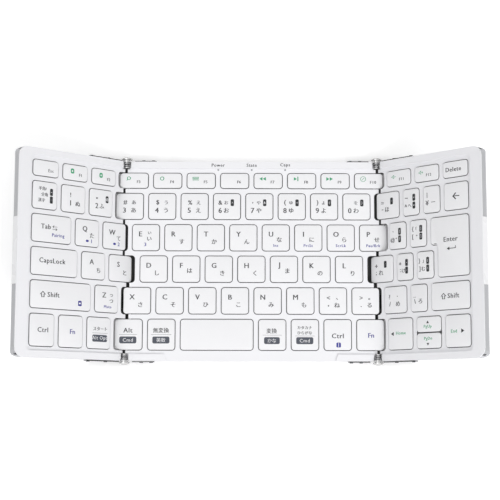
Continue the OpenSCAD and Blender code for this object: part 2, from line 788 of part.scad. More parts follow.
// The port's outside. As a cut it is grown by g and runs out through the rear face.
module port_block(g) {
    translate([-port_x - port_w / 2 - g, port_y - g, floor_z])
        cube([port_w + 2 * g, port_d + g + (g > 0 ? 2 : 0), port_h + g]);
}
module port_notch() {
    translate([-port_x, port_y + port_d / 2]) square([port_w + 4 * fit, port_d + 2], center = true);
}
module charging_port() color("silver") {
    shell_t = 0.35;
    back_t = 1.2;
    tongue_t = 0.6;
    tongue_w = port_w - 3;
    difference() {
        port_block(0);
        translate([-port_x - port_w / 2 + shell_t, port_y + back_t, floor_z + shell_t])
            cube([port_w - 2 * shell_t, port_d, port_h - 2 * shell_t]);
    }
    translate([-port_x - tongue_w / 2, port_y + back_t - eps, floor_z + (port_h - tongue_t) / 2])
        cube([tongue_w, port_d - 2 * back_t, tongue_t]);
}
module main_board() color("seagreen") {
    chip_t = 1;
    difference() {
        translate([board_x, board_rear - board_d, floor_z]) cube([board_w, board_d, board_t]);
        port_block(fit);
        for (x = [-1, 0]) translate([x * post_pitch, board_post_y, floor_z - 1])
            cylinder(r = post_r + fit, h = 4);
    }
    for (chip = [[-56, 7, 7], [-22, 9, 9], [6, 6, 5]])
        translate([chip[0], board_rear - board_d + 4, floor_z + board_t - eps])
            cube([chip[1], chip[2], chip_t]);
}
module battery() color("lightsteelblue") {
    translate([battery_x, battery_y - battery_w / 2, floor_z])
        cube([battery_l, battery_w, battery_t]);
}
module lamp_pipes(g) {
    z0 = floor_z + board_t;
    for (x = [-1 : 1])
        translate([x * lamp_pitch, lamp_y, z0])
            cylinder(r = lamp_r + g, h = deck_z - z0 + (g > 0 ? 1 : 0));
}
module status_lamps() color("lightgray") lamp_pipes(0);

// A flat cable that runs from one panel to the other on an arc about the hinge axis.
module flex_cable(side) {
    angle = side < 0 ? left_raise : right_raise;
    steps = 16;
    inner = flex_r - flex_t / 2;
    outer = flex_r + flex_t / 2;
    function at(r, a) = [r * sin(a), -r * cos(a)];
    function past(r, a) = at(r, a) + flex_in * [cos(a), sin(a)];
    translate([side * hinge_x, flex_y + side * flex_w / 2, axis_z])
        rotate([90, 0, side < 0 ? 180 : 0]) linear_extrude(flex_w) polygon(concat(
            [[-flex_in, -inner]],
            [for (k = [0 : steps]) at(inner, angle * k / steps)],
            [past(inner, angle), past(outer, angle)],
            [for (k = [0 : steps]) at(outer, angle * (1 - k / steps))],
            [[-flex_in, -outer]]));
}

// ---- Hinges ----

// Leaf on the centre panel: its eye lies in the panel's corner, its strap on the rear face.
module centre_leaf() {
    difference() {
        union() {
            translate([hinge_x, eye_y0, axis_z]) rotate([-90, 0, 0]) cylinder(r = eye_r, h = leaf_t);
            translate([hinge_x - elbow - elbow_l, eye_y0, strap_z0])
                cube([elbow + elbow_l, leaf_t, leaf_w]);
            translate([hinge_x - elbow - elbow_l, eye_y0, strap_z0])
                cube([elbow_l, leaf_y1 - eye_y0, leaf_w]);
            translate([hinge_x - centre_leaf_l, leaf_y0, strap_z0])
                cube([centre_leaf_l - elbow, leaf_t, leaf_w]);
        }
        translate([hinge_x, 0, axis_z]) rotate([-90, 0, 0]) cylinder(r = shaft_r, h = 2 * rear_y);
        for (t = centre_screws_t)
            translate([hinge_x - t, 0, strap_z]) rotate([-90, 0, 0])
                cylinder(r = screw_r + screw_fit, h = 2 * rear_y, $fn = 32);
    }
}
module wing_leaf() {
    difference() {
        union() {
            translate([hinge_x, leaf_y0, axis_z]) rotate([-90, 0, 0]) cylinder(r = eye_r, h = leaf_t);
            translate([hinge_x, leaf_y0, strap_z0]) cube([wing_leaf_l, leaf_t, leaf_w]);
        }
        translate([hinge_x, 0, axis_z]) rotate([-90, 0, 0])
            cylinder(r = shaft_r + shaft_fit, h = 2 * rear_y);
        for (t = wing_screws_t)
            translate([hinge_x + t, 0, strap_z]) rotate([-90, 0, 0])
                cylinder(r = screw_r + screw_fit, h = 2 * rear_y, $fn = 32);
    }
}
// Shaft with its domed cap outside and its riveted end inside.
module shaft() {
    dome_h = cap_l * 0.6;
    rim_h = cap_l - dome_h;
    sphere_r = (cap_r * cap_r + dome_h * dome_h) / (2 * dome_h);
    translate([hinge_x, 0, axis_z]) rotate([-90, 0, 0]) {
        translate([0, 0, stack_y - rivet_l]) cylinder(r = rivet_r, h = rivet_l);
        translate([0, 0, stack_y - eps]) cylinder(r = shaft_r, h = cap_y - stack_y + 2 * eps);
        translate([0, 0, cap_y]) cylinder(r = cap_r, h = rim_h);
        intersection() {
            translate([0, 0, cap_y + cap_l - sphere_r]) sphere(sphere_r, $fn = 96);
            translate([0, 0, cap_y + rim_h - eps]) cylinder(r = cap_r + 1, h = cap_l);
        }
    }
}
// Two spring washers that meet at their rims.
module washer_pair(r) {
    hole = shaft_r + shaft_fit;
    rotate_extrude() polygon([[hole, 0], [r, washer_cone], [r, washer_cone + washer_t], [hole, washer_t]]);
    rotate_extrude() polygon([[hole, pair_l - washer_t], [r, washer_cone + washer_t],
                              [r, pair_l - washer_cone], [hole, pair_l]]);
}
module washer_stack() {
    for (k = [0 : washer_pairs - 1])
        translate([hinge_x, stack_y + stack_gap + k * (pair_l + stack_gap), axis_z]) rotate([-90, 0, 0])
            washer_pair(washer_r - (washer_pairs - 1 - k) * washer_step);
}
module leaf_screws(positions) {
    screw_line(positions, screw_r, rear_y - screw_in, leaf_y1 + eps);
    screw_line(positions, screw_head_r, leaf_y1, leaf_y1 + screw_head_h);
}
module foot(x, y) translate([x, y, 0]) cylinder(r = foot_r, h = foot_h);

module centre_feet() color("dimgray")
    for (x = [-centre_foot_x, centre_foot_x]) for (y = [-foot_y, foot_y]) foot(x, y);
module centre_scissors() color("ivory") scissors(centre_caps());
module centre_hinge_leaves() color("silver") both_sides() both_ends() centre_leaf();
module hinge_shafts() color("silver") both_sides() both_ends() shaft();
module hinge_washers() color("dimgray") both_sides() both_ends() washer_stack();
module centre_screws() color("darkgray") leaf_screws(centre_screw_x());

module wing_feet(side) for (y = [-foot_y, foot_y]) foot(side * wing_foot_x, y);
module wing_leaves(side) mirror([side < 0 ? 1 : 0, 0, 0]) both_ends() wing_leaf();

module left_bottom_shell() color("silver") raise(-1) wing_bottom_shell(-1);
module left_top_frame() color("white") raise(-1) wing_top_frame(-1);
module left_key_plate() color("gray") raise(-1) wing_key_plate(-1);
module left_switch_membrane() color("gainsboro") raise(-1) wing_switch_membrane(-1, wing_caps(-1));
module left_scissors() color("ivory") raise(-1) scissors(wing_caps(-1));
module left_feet() color("dimgray") raise(-1) wing_feet(-1);
module left_screws() color("darkgray") raise(-1) leaf_screws(wing_screw_x(-1));
module left_side_insert() color("whitesmoke") raise(-1) insert_block(-1, 0);
module left_hinge_leaves() color("silver") raise(-1) wing_leaves(-1);
module left_flex_cable() color("darkslategray") flex_cable(-1);

module right_bottom_shell() color("silver") raise(1) wing_bottom_shell(1);
module right_top_frame() color("white") raise(1) wing_top_frame(1);
module right_key_plate() color("gray") raise(1) wing_key_plate(1);
module right_switch_membrane() color("gainsboro") raise(1) wing_switch_membrane(1, right_switches());
module right_scissors() color("ivory") raise(1) scissors(right_switches());
module right_feet() color("dimgray") raise(1) wing_feet(1);
module right_screws() color("darkgray") raise(1) leaf_screws(wing_screw_x(1));
module right_side_insert() color("whitesmoke") raise(1) insert_block(1, 0);
module right_hinge_leaves() color("silver") raise(1) wing_leaves(1);
module right_flex_cable() color("darkslategray") flex_cable(1);

module function_keys() color("whitesmoke") caps(centre_row(function_row));
module number_keys() color("whitesmoke") caps(centre_row(number_row));
module upper_keys() color("whitesmoke") caps(centre_row(upper_row));
module home_keys() color("whitesmoke") caps(centre_row(home_row));
module lower_keys() color("whitesmoke") caps(centre_row(lower_row));
module bottom_keys() color("whitesmoke")
    caps(concat(pick(centre_row(bottom_row), 0, 1), pick(centre_row(bottom_row), 3, 6)));
module space_key() color("whitesmoke") keycap(centre_row(bottom_row)[2]);

module left_caps(i, a, b) color("whitesmoke") raise(-1) caps(pick(wing_row(-1, i), a, b));
module left_function_keys() left_caps(function_row, 0, 2);
module left_number_keys() left_caps(number_row, 0, 2);
module tab_key() left_caps(upper_row, 0, 0);
module left_upper_keys() left_caps(upper_row, 1, 2);
module caps_lock_key() left_caps(home_row, 0, 0);
module left_home_keys() left_caps(home_row, 1, 2);
module left_shift_key() left_caps(lower_row, 0, 0);
module left_lower_key() left_caps(lower_row, 1, 1);
module left_bottom_keys() left_caps(bottom_row, 0, 2);

module right_caps(i, a, b) color("whitesmoke") raise(1) caps(pick(wing_row(1, i), a, b));
module right_function_keys() right_caps(function_row, 0, 2);
module right_number_keys() right_caps(number_row, 1, 3);
module backspace_key() right_caps(number_row, 0, 0);
module right_upper_keys() right_caps(upper_row, 1, 2);
module enter_key() color("whitesmoke") raise(1) enter_cap();
module right_home_keys() right_caps(home_row, 1, 3);
module right_lower_keys() right_caps(lower_row, 1, 2);
module right_shift_key() right_caps(lower_row, 0, 0);
module page_keys() color("whitesmoke") raise(1) caps(page_caps());
module right_bottom_keys() {
    right_caps(bottom_row, 0, 0);
    right_caps(bottom_row, 2, 2);
}

centre_bottom_shell();
centre_top_frame();
centre_key_plate();
centre_switch_membrane();
centre_scissors();
centre_feet();
centre_screws();
main_board();
battery();
charging_port();
status_lamps();
left_flex_cable();
right_flex_cable();
centre_hinge_leaves();
hinge_shafts();
hinge_washers();
left_bottom_shell();
left_top_frame();
left_key_plate();
left_switch_membrane();
left_scissors();
left_feet();
left_screws();
left_side_insert();
left_hinge_leaves();
right_bottom_shell();
right_top_frame();
right_key_plate();
right_switch_membrane();
right_scissors();
right_feet();
right_screws();
right_side_insert();
right_hinge_leaves();
function_keys();
number_keys();
upper_keys();
home_keys();
lower_keys();
bottom_keys();
space_key();
left_function_keys();
left_number_keys();
tab_key();
left_upper_keys();
caps_lock_key();
left_home_keys();
left_shift_key();
left_lower_key();
left_bottom_keys();
right_function_keys();
right_number_keys();
backspace_key();
right_upper_keys();
enter_key();
right_home_keys();
right_lower_keys();
right_shift_key();
page_keys();
right_bottom_keys();
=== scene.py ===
import json
import math

import bmesh
import bpy
from mathutils import Matrix, Vector


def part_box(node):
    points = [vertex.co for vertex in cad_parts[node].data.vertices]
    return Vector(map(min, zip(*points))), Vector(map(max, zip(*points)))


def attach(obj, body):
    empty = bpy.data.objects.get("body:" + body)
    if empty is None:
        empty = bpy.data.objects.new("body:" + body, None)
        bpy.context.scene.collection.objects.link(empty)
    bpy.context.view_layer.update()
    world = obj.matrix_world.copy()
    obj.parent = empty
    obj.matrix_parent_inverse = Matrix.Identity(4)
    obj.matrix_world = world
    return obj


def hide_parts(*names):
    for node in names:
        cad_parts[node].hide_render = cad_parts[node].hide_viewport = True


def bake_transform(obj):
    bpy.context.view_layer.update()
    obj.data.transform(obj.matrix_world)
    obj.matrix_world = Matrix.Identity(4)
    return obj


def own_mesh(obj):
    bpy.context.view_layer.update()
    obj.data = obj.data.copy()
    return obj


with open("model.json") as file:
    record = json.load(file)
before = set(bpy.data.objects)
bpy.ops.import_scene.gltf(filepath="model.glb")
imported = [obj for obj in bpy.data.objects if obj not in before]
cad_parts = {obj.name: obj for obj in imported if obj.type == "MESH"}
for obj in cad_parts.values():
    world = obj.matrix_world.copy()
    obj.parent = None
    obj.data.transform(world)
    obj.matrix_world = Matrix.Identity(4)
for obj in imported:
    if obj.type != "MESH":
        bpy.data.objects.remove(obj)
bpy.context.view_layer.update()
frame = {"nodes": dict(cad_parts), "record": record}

MM = 0.001

# ---- Sizes of the built keyboard, in millimetres; heights are from the table, angles in degrees ----

HINGE_X = 73.3
AXIS_Z = 8.1
LEFT_RAISE = 41.4
RIGHT_RAISE = 44.0
RIM_TOP = 7.8
DECK_TOP = 6.7
FILM_TOP = 4.3
FLAT_SLACK = 0.02

KEY_TOP = 7.3
KEY_HEIGHT = 1.5
KEY_CORNER = 1.6
KEY_SKIRT = 0.9
KEY_ROOF = 0.7
KEY_EASE = 0.24
WEB = 3.4
PAGE_SLIT = 0.7
KEY_REACH = 63.3
ROW_REAR = [51.65, 39.55, 21.05, 2.55, -15.95, -34.45]
ROW_FRONT = [42.95, 24.45, 5.95, -12.55, -31.05, -52.05]

DOME_FOOT = 2.1
DOME_HEAD = 0.55
DOME_GAP = 0.03
SHORT_KEY = 12.0
SHORT_KEY_DOME = 0.8
FLEX_THICK = 0.25
FLEX_END = 8.0
FLEX_STEPS = 10
LAMP_PITCH = 19.7
LAMP_Y = 53.9
LAMP_WORD_Y = LAMP_Y + 2.65
LAMP_WORD = 2.7

# Painted shade darkens gaps only between the front and rear rims, and less so on the walls beside a fold line.
SHADED_Y = 56.0
SEAM_REACH = 10.5
SEAM_LIFT = 0.65
BRIGHT_EYE = 3.0

# ---- Sizes of the print; STROKE is a share of the letter size ----

INK_THICK = 0.012
INK_STEP = 0.005
STROKE = 0.05
LETTER = 4.2
DIGIT = 4.3
SIGN = 3.7
KANA = 3.4
WORD = 3.9
SMALL = 2.35
PILL_LETTER = 2.0

# ---- Floor and camera, in metres and degrees ----

FLOOR_SIZE = 12
FLOOR_GLOW = 0.32
# Where the floor's glow fades out round the keyboard, which paints a soft shadow there.
GLOW_EDGE = (0.088, 0.054)
GLOW_FADE = 0.012
# Painted shadow on the floor right under the keyboard: its edge, how soft that edge is, and how dark it is.
PAINTED_SHADOW_EDGE = (0.077, 0.0572)
PAINTED_SHADOW_FADE = 0.0012
PAINTED_SHADOW_TONE = 0.1
CAMERA_AIM = Vector((-0.88, 6.27, KEY_TOP)) * MM
CAMERA_AWAY = 0.7592
CAMERA_TILT = 7.42
CAMERA_ROLL = 0.147
CAMERA_LENS = 93.57
CAMERA_SENSOR = 36.0

SMOOTH_BELOW = math.radians(35)
PANEL = {-1: "left", 0: "centre", 1: "right"}
BODY = {-1: "left_wing", 0: "centre_panel", 1: "right_wing"}


def raise_of(side):
    return math.radians(LEFT_RAISE if side < 0 else RIGHT_RAISE)


def wing_turn(side):
    """The move that raises a wing from lying flat. side is -1 left, 1 right, 0 the centre, which stays."""
    if side == 0:
        return Matrix.Identity(4)
    pivot = Vector((side * HINGE_X, 0, AXIS_Z)) * MM
    turn = Matrix.Rotation(-side * raise_of(side), 4, "Y")
    return Matrix.Translation(pivot) @ turn @ Matrix.Translation(-pivot)


# ---- Where each keycap lies on the flat, open keyboard: (x0, x1, y0, y1) ----


def centre_row(row, shift, widths):
    x = shift - (sum(widths) + WEB * (len(widths) - 1)) / 2
    places = []
    for width in widths:
        places.append((x, x + width, ROW_FRONT[row], ROW_REAR[row]))
        x += width + WEB
    return places


def wing_row(side, row, widths):
    """Keycaps of one wing row, from the outer edge towards the hinge line."""
    s = HINGE_X + KEY_REACH
    places = []
    for width in widths:
        x0, x1 = sorted((side * s, side * (s - width)))
        places.append((x0, x1, ROW_FRONT[row], ROW_REAR[row]))
        s -= width + WEB
    return places


def page_halves(place):
    x0, x1, y0, y1 = place
    middle = (y0 + y1) / 2
    return [(x0, x1, y0, middle - PAGE_SLIT / 2), (x0, x1, middle + PAGE_SLIT / 2, y1)]


BOTTOM = centre_row(5, -1.05, [15.6, 15.6, 41.9, 15.6, 15.6, 15.6, 15.6])
RIGHT_BOTTOM = wing_row(1, 5, [16.3, 16.3, 16.9])
RIGHT_UPPER = wing_row(1, 2, [25.4, 11, 11.7])
RIGHT_HOME = wing_row(1, 3, [20.7, 11, 11, 15.6])
RIGHT_LOWER = wing_row(1, 4, [25.5, 11, 15.6])
LEFT_UPPER = wing_row(-1, 2, [25.5, 15.6, 15.6])
LEFT_HOME = wing_row(-1, 3, [30.1, 15.6, 15.6])
LEFT_LOWER = wing_row(-1, 4, [39.6, 15.6])
RIGHT_NUMBER = wing_row(1, 1, [15.8, 11, 11, 15.9])

KEY_PLACES = {
    "function_keys": (0, centre_row(0, -0.15, [16.3] * 8)),
    "number_keys": (0, centre_row(1, -4.95, [15.6] * 8)),
    "upper_keys": (0, centre_row(2, 4.7, [15.6] * 8)),
    "home_keys": (0, centre_row(3, -0.05, [15.6] * 7)),
    "lower_keys": (0, centre_row(4, -0.05, [15.6] * 8)),
    "bottom_keys": (0, BOTTOM[:2] + BOTTOM[3:]),
    "space_key": (0, BOTTOM[2:3]),
    "left_function_keys": (-1, wing_row(-1, 0, [16.3] * 3)),
    "left_number_keys": (-1, wing_row(-1, 1, [15.6] * 3)),
    "tab_key": (-1, LEFT_UPPER[:1]),
    "left_upper_keys": (-1, LEFT_UPPER[1:]),
    "caps_lock_key": (-1, LEFT_HOME[:1]),
    "left_home_keys": (-1, LEFT_HOME[1:]),
    "left_shift_key": (-1, LEFT_LOWER[:1]),
    "left_lower_key": (-1, LEFT_LOWER[1:]),
    "left_bottom_keys": (-1, wing_row(-1, 5, [15.6] * 3)),
    "right_function_keys": (1, wing_row(1, 0, [16.3, 16.3, 16.8])),
    "right_number_keys": (1, RIGHT_NUMBER[1:]),
    "backspace_key": (1, RIGHT_NUMBER[:1]),
    "right_upper_keys": (1, RIGHT_UPPER[1:]),
    "enter_key": (1, RIGHT_UPPER[:1]),
    "right_home_keys": (1, RIGHT_HOME[1:]),
    "right_lower_keys": (1, RIGHT_LOWER[1:]),
    "right_shift_key": (1, RIGHT_LOWER[:1]),
    "page_keys": (1, page_halves(RIGHT_BOTTOM[1])),
    "right_bottom_keys": (1, [RIGHT_BOTTOM[0], RIGHT_BOTTOM[2]]),
}

# ---- What is printed on each keycap ----
# A mark is (text, share of the cap's width, share of its depth from the rear, letter size, ink).


def letter(capital, kana, kana_at=0.655):
    return [(capital, 0.32, 0.36, LETTER, "grey"), (kana, 0.63, kana_at, KANA, "grey")]


def lettered(capital, kana, word):
    return letter(capital, kana, 0.57) + [(word, 0.5, 0.8, SMALL, "blue")]


def digit(sign, number, small_kana, kana):
    return [(sign, 0.33, 0.35, SIGN, "grey"), (number, 0.30, 0.655, DIGIT, "grey"),
            (small_kana, 0.65, 0.35, KANA, "pale"), (kana, 0.64, 0.655, KANA, "grey")]


def tight_digit(sign, number, small_kana, kana, other):
    return [(sign, 0.25, 0.35, SIGN, "grey"), (number, 0.245, 0.655, DIGIT, "grey"),
            (small_kana, 0.475, 0.35, KANA * 0.9, "pale"), (kana, 0.48, 0.655, KANA, "grey"),
            pill(other, 0.70, 0.35)]


def pill(text, u, v):
    return (text, u, v, PILL_LETTER, "pill")


def badge(text, u, v, width):
    return (text, u, v, width, "badge")


def rule(u, v, width):
    return ("", u, v, width, "rule")


def function(icon, size, number):
    return [(icon, 0.30, 0.36, size, "green"), (number, 0.66, 0.58, SMALL, "grey")]


def worded(text, u=0.5, v=0.5, size=WORD, ink="grey"):
    return [(text, u, v, size, ink)]


MARKS = {
    "function_keys": [
        function("⌕", 4.4, "F3"), function("⭘", 2.9, "F4"), function("⌨", 3.2, "F5"),
        [("F6", 0.66, 0.58, SMALL, "grey")], function("◀◀", 2.2, "F7"),
        function("▶‖", 2.2, "F8"), function("▶▶", 2.2, "F9"), function("⊘", 2.3, "F10"),
    ],
    "number_keys": [
        digit("#", "3", "ぁ", "あ"), digit("$", "4", "ぅ", "う"), digit("%", "5", "ぇ", "え"),
        tight_digit("&", "6", "ぉ", "お", "^"), tight_digit("'", "7", "ゃ", "や", "&"),
        tight_digit("(", "8", "ゅ", "ゆ", "*"), tight_digit(")", "9", "ょ", "よ", "("),
        [("0", 0.245, 0.655, DIGIT, "grey"), ("を", 0.475, 0.35, KANA * 0.75, "pale"),
         ("わ", 0.48, 0.655, KANA, "grey"), pill(")", 0.70, 0.35)],
    ],
    "upper_keys": [
        [("E", 0.30, 0.36, LETTER, "grey"), ("ぃ", 0.64, 0.32, KANA * 0.8, "pale"),
         ("い", 0.63, 0.55, KANA * 0.9, "grey"), ("3", 0.48, 0.77, SMALL * 1.25, "blue")],
        letter("R", "す"), letter("T", "か"), letter("Y", "ん"),
        lettered("U", "な", "Ins"), lettered("I", "に", "PrtSc"),
        lettered("O", "ら", "ScrLk"), lettered("P", "せ", "Pau/Brk"),
    ],
    "home_keys": [
        letter("D", "し"), letter("F", "は", 0.56), letter("G", "き"), letter("H", "く"),
        letter("J", "ま", 0.56), letter("K", "の"), letter("L", "り"),
    ],
    "lower_keys": [
        letter("X", "さ"), letter("C", "そ"), letter("V", "ひ"), letter("B", "こ"),
        letter("N", "み"), letter("M", "も"),
        [("<", 0.33, 0.38, SIGN, "grey"), ("、", 0.65, 0.42, KANA, "grey"),
         (",", 0.33, 0.69, DIGIT, "grey"), ("ね", 0.65, 0.66, KANA, "grey")],
        [(">", 0.33, 0.38, SIGN, "grey"), ("。", 0.63, 0.42, KANA, "grey"),
         (".", 0.33, 0.71, DIGIT, "grey"), ("る", 0.64, 0.66, KANA, "grey")],
    ],
    "bottom_keys": [
        worded("Alt", 0.48, 0.36) + [rule(0.49, 0.50, 10.4), badge("Cmd", 0.48, 0.68, 9.9)],
        worded("無変換", 0.49, 0.36, 3.1) + [rule(0.50, 0.50, 11.8), badge("英数", 0.49, 0.68, 9.9)],
        worded("変換", 0.48, 0.37, 3.1) + [rule(0.50, 0.51, 11.2), badge("かな", 0.49, 0.69, 9.1)],
        worded("カタカナ", 0.49, 0.26, 2.2) + worded("ひらがな", 0.49, 0.43, 2.2)
        + [rule(0.50, 0.535, 11.2), badge("Cmd", 0.49, 0.69, 9.9)],
        worded("Ctrl", 0.50, 0.53) + [("", 0.53, 0.83, 2.8, "window")],
        worded("Fn", 0.52, 0.51, WORD, "violet"),
    ],
    "left_function_keys": [
        [("Esc", 0.70, 0.62, SMALL * 1.1, "pale")],
        [("", 0.37, 0.41, 3.1, "radio"), ("F1", 0.70, 0.62, SMALL, "grey")],
        [("", 0.37, 0.41, 3.1, "radio"), ("F2", 0.70, 0.62, SMALL, "grey")],
    ],
    "left_number_keys": [
        [("半角/", 0.40, 0.25, 2.3, "grey"), ("全角", 0.48, 0.47, 2.3, "grey"),
         ("漢字", 0.36, 0.69, 2.3, "grey"), pill("~", 0.77, 0.36), pill("`", 0.77, 0.65)],
        [("!", 0.375, 0.35, SIGN, "grey"), ("1", 0.375, 0.655, DIGIT, "grey"),
         ("ぬ", 0.69, 0.665, KANA, "grey")],
        [('"', 0.31, 0.34, SIGN, "grey"), ("2", 0.31, 0.63, DIGIT, "grey"), ("ふ", 0.53, 0.63, KANA, "grey"),
         pill("@", 0.765, 0.35)],
    ],
    "tab_key": [worded("Tab", 0.35, 0.43) + [("⇆", 0.58, 0.46, 3.3, "grey"),
                                             ("Pairing", 0.67, 0.74, SMALL * 1.15, "blue")]],
    "left_upper_keys": [
        [("Q", 0.39, 0.36, LETTER, "grey"), ("た", 0.70, 0.58, KANA, "grey"),
         ("1", 0.69, 0.80, SMALL * 1.3, "blue"),
         ("", 0.5, 0.80, 1.6, "chip")],
        [("W", 0.39, 0.36, LETTER, "grey"), ("て", 0.68, 0.58, KANA, "grey"),
         ("2", 0.69, 0.80, SMALL * 1.3, "blue"),
         ("", 0.5, 0.80, 1.6, "chip")],
    ],
    "caps_lock_key": [worded("CapsLock", 0.455, 0.49)],
    "left_home_keys": [
        [("A", 0.42, 0.35, LETTER, "grey"), ("ち", 0.72, 0.66, KANA, "grey")],
        [("S", 0.40, 0.35, LETTER, "grey"), ("と", 0.69, 0.66, KANA, "grey")],
    ],
    "left_shift_key": [[("⇧", 0.20, 0.49, 4.4, "grey"), ("Shift", 0.375, 0.49, WORD, "grey"),
                        ("", 0.82, 0.74, 3.3, "lock")]],
    "left_lower_key": [[("Z", 0.39, 0.35, LETTER, "grey"), ("っ", 0.71, 0.35, KANA * 0.9, "pale"),
                        ("つ", 0.71, 0.57, KANA * 0.9, "grey"), ("Mute", 0.55, 0.79, SMALL, "blue")]],
    "left_bottom_keys": [
        worded("Ctrl", 0.54, 0.49), worded("Fn", 0.57, 0.50, WORD, "violet"),
        worded("スタート", 0.555, 0.36, 2.5) + [rule(0.55, 0.50, 10.6), badge("Alt Opt", 0.54, 0.67, 10.2)],
    ],
    "right_function_keys": [
        worded("Delete", 0.43, 0.50, 3.5, "dark"),
        [("◁+", 0.26, 0.40, 2.4, "green"), ("F12", 0.60, 0.60, SMALL, "grey")],
        [("◁−", 0.30, 0.40, 2.4, "green"), ("F11", 0.63, 0.60, SMALL, "grey")],
    ],
    "right_number_keys": [
        [("|", 0.24, 0.33, SIGN * 0.9, "grey"), ("¥", 0.24, 0.62, DIGIT * 0.9, "grey"),
         ("ー", 0.62, 0.61, KANA, "grey")],
        [("~", 0.22, 0.33, SIGN, "grey"), ("^", 0.18, 0.62, DIGIT * 0.9, "grey"),
         ("へ", 0.42, 0.63, KANA * 0.8, "grey"),
         pill("+", 0.70, 0.33), pill("=", 0.70, 0.63)],
        [("=", 0.27, 0.39, SIGN, "grey"), ("-", 0.27, 0.65, DIGIT, "grey"),
         ("ほ", 0.48, 0.655, KANA, "grey"),
         pill("_", 0.69, 0.35)],
    ],
    "backspace_key": [worded("←", 0.50, 0.50, 6.0, "dark")],
    "right_upper_keys": [
        [("{", 0.17, 0.33, SIGN * 0.9, "grey"), ("「", 0.40, 0.31, KANA * 0.8, "grey"),
         ("[", 0.17, 0.63, SIGN * 0.9, "grey"), ("゜", 0.42, 0.58, KANA, "grey"), pill("}", 0.68, 0.33),
         pill("]", 0.68, 0.62)],
        [("`", 0.24, 0.33, SIGN, "grey"), ("@", 0.21, 0.66, SIGN * 0.85, "grey"),
         ("゛", 0.43, 0.60, KANA, "grey"),
         pill("{", 0.64, 0.34), pill("[", 0.64, 0.63)],
    ],
    "enter_key": [[("Enter", 0.53, 0.85, WORD, "grey"), ("", 0.55, 1.20, 0, "return"),
                   ("−", 0.12, 0.97, 3.4, "grey")]],
    "right_home_keys": [
        [("}", 0.14, 0.34, SIGN * 0.9, "grey"), ("」", 0.37, 0.36, KANA * 0.8, "grey"),
         ("]", 0.16, 0.64, SIGN * 0.9, "grey"), ("む", 0.38, 0.64, KANA * 0.85, "grey"),
         pill("|", 0.66, 0.34), pill("\\", 0.66, 0.63)],
        [("*", 0.21, 0.37, DIGIT * 0.9, "grey"), (":", 0.22, 0.63, SIGN, "grey"),
         ("け", 0.42, 0.64, KANA * 0.85, "grey"),
         pill('"', 0.62, 0.34), pill("'", 0.62, 0.63)],
        [("+", 0.25, 0.37, DIGIT * 0.95, "grey"), (";", 0.25, 0.66, SIGN, "grey"),
         ("れ", 0.47, 0.64, KANA, "grey"),
         pill(":", 0.67, 0.33)],
    ],
    "right_lower_keys": [
        [("_", 0.24, 0.46, SIGN, "grey"), ("\\", 0.26, 0.62, SIGN, "grey"),
         ("ろ", 0.60, 0.62, KANA, "grey")],
        [("?", 0.24, 0.38, SIGN, "grey"), ("・", 0.60, 0.37, KANA * 0.7, "grey"),
         ("/", 0.26, 0.65, SIGN, "grey"),
         ("め", 0.62, 0.66, KANA, "grey")],
    ],
    "right_shift_key": [[("⇧", 0.32, 0.50, 4.4, "grey"), ("Shift", 0.58, 0.50, WORD, "grey")]],
    "page_keys": [
        [("PgDn", 0.47, 0.38, 2.4, "green"), ("▼", 0.46, 0.74, 1.9, "dark")],
        [("▲", 0.46, 0.34, 1.9, "dark"), ("PgUp", 0.46, 0.66, 2.4, "green")],
    ],
    "right_bottom_keys": [
        [("End", 0.34, 0.50, 2.6, "green"), ("▶", 0.70, 0.50, 2.5, "dark")],
        [("◀", 0.17, 0.49, 2.4, "dark"), ("Home", 0.53, 0.47, 2.6, "green")],
    ],
}

# ---- Modelling helpers ----


def clear_selection():
    if bpy.context.object is not None and bpy.context.object.mode != "OBJECT":
        bpy.ops.object.mode_set(mode="OBJECT")
    bpy.ops.object.select_all(action="DESELECT")


def edit(obj):
    clear_selection()
    obj.select_set(True)
    bpy.context.view_layer.objects.active = obj
    bpy.ops.object.mode_set(mode="EDIT")


def done():
    bpy.ops.object.mode_set(mode="OBJECT")


def choose(obj, kind, test):
    """In edit mode, selects only the verts, edges or faces that the test accepts."""
    bpy.ops.mesh.select_mode(type={"verts": "VERT", "edges": "EDGE", "faces": "FACE"}[kind])
    bpy.ops.mesh.select_all(action="DESELECT")
    shape = bmesh.from_edit_mesh(obj.data)
    for item in getattr(shape, kind):
        if test(item):
            item.select_set(True)
    bmesh.update_edit_mesh(obj.data)


def upright(edge):
    a, b = (v.co for v in edge.verts)
    return abs(a.x - b.x) < 1e-7 and abs(a.y - b.y) < 1e-7


def facing_up(face):
    return face.normal.z > 0.9


def facing_down(face):
    return face.normal.z < -0.9


def block(name, x0, x1, y0, y1, z0, z1):
    """A box with the given limits in millimetres, its place in its mesh."""
    clear_selection()
    bpy.ops.mesh.primitive_cube_add(
        size=1,
        location=(Vector((x0 + x1, y0 + y1, z0 + z1)) / 2 * MM),
        scale=(Vector((x1 - x0, y1 - y0, z1 - z0)) * MM),
    )
    obj = bpy.context.object
    obj.name = name
    bpy.ops.object.transform_apply(location=True, rotation=True, scale=True)
    return obj


def round_corners(obj, radius, segments):
    choose(obj, "edges", upright)
    bpy.ops.mesh.bevel(offset=radius * MM, segments=segments, affect="EDGES")


def push(x, y, z):
    """In edit mode, extrudes what is selected, in metres."""
    bpy.ops.mesh.extrude_region_move(TRANSFORM_OT_translate={"value": (x, y, z)})


def join(parts, name):
    clear_selection()
    for part in parts:
        part.select_set(True)
    bpy.context.view_layer.objects.active = parts[0]
    if len(parts) > 1:
        bpy.ops.object.join()
    parts[0].name = name
    parts[0].data.name = name
    return parts[0]


def copy_of(template, move):
    """A copy of a finished shape with its own mesh, moved by a matrix that goes into the mesh."""
    obj = bpy.data.objects.new(template.name, template.data.copy())
    bpy.context.scene.collection.objects.link(obj)
    obj.data.transform(move)
    return obj


def remove_all(templates):
    for template in templates:
        bpy.data.objects.remove(template)


def at(x, y, z=0.0):
    return Matrix.Translation(Vector((x, y, z)) * MM)


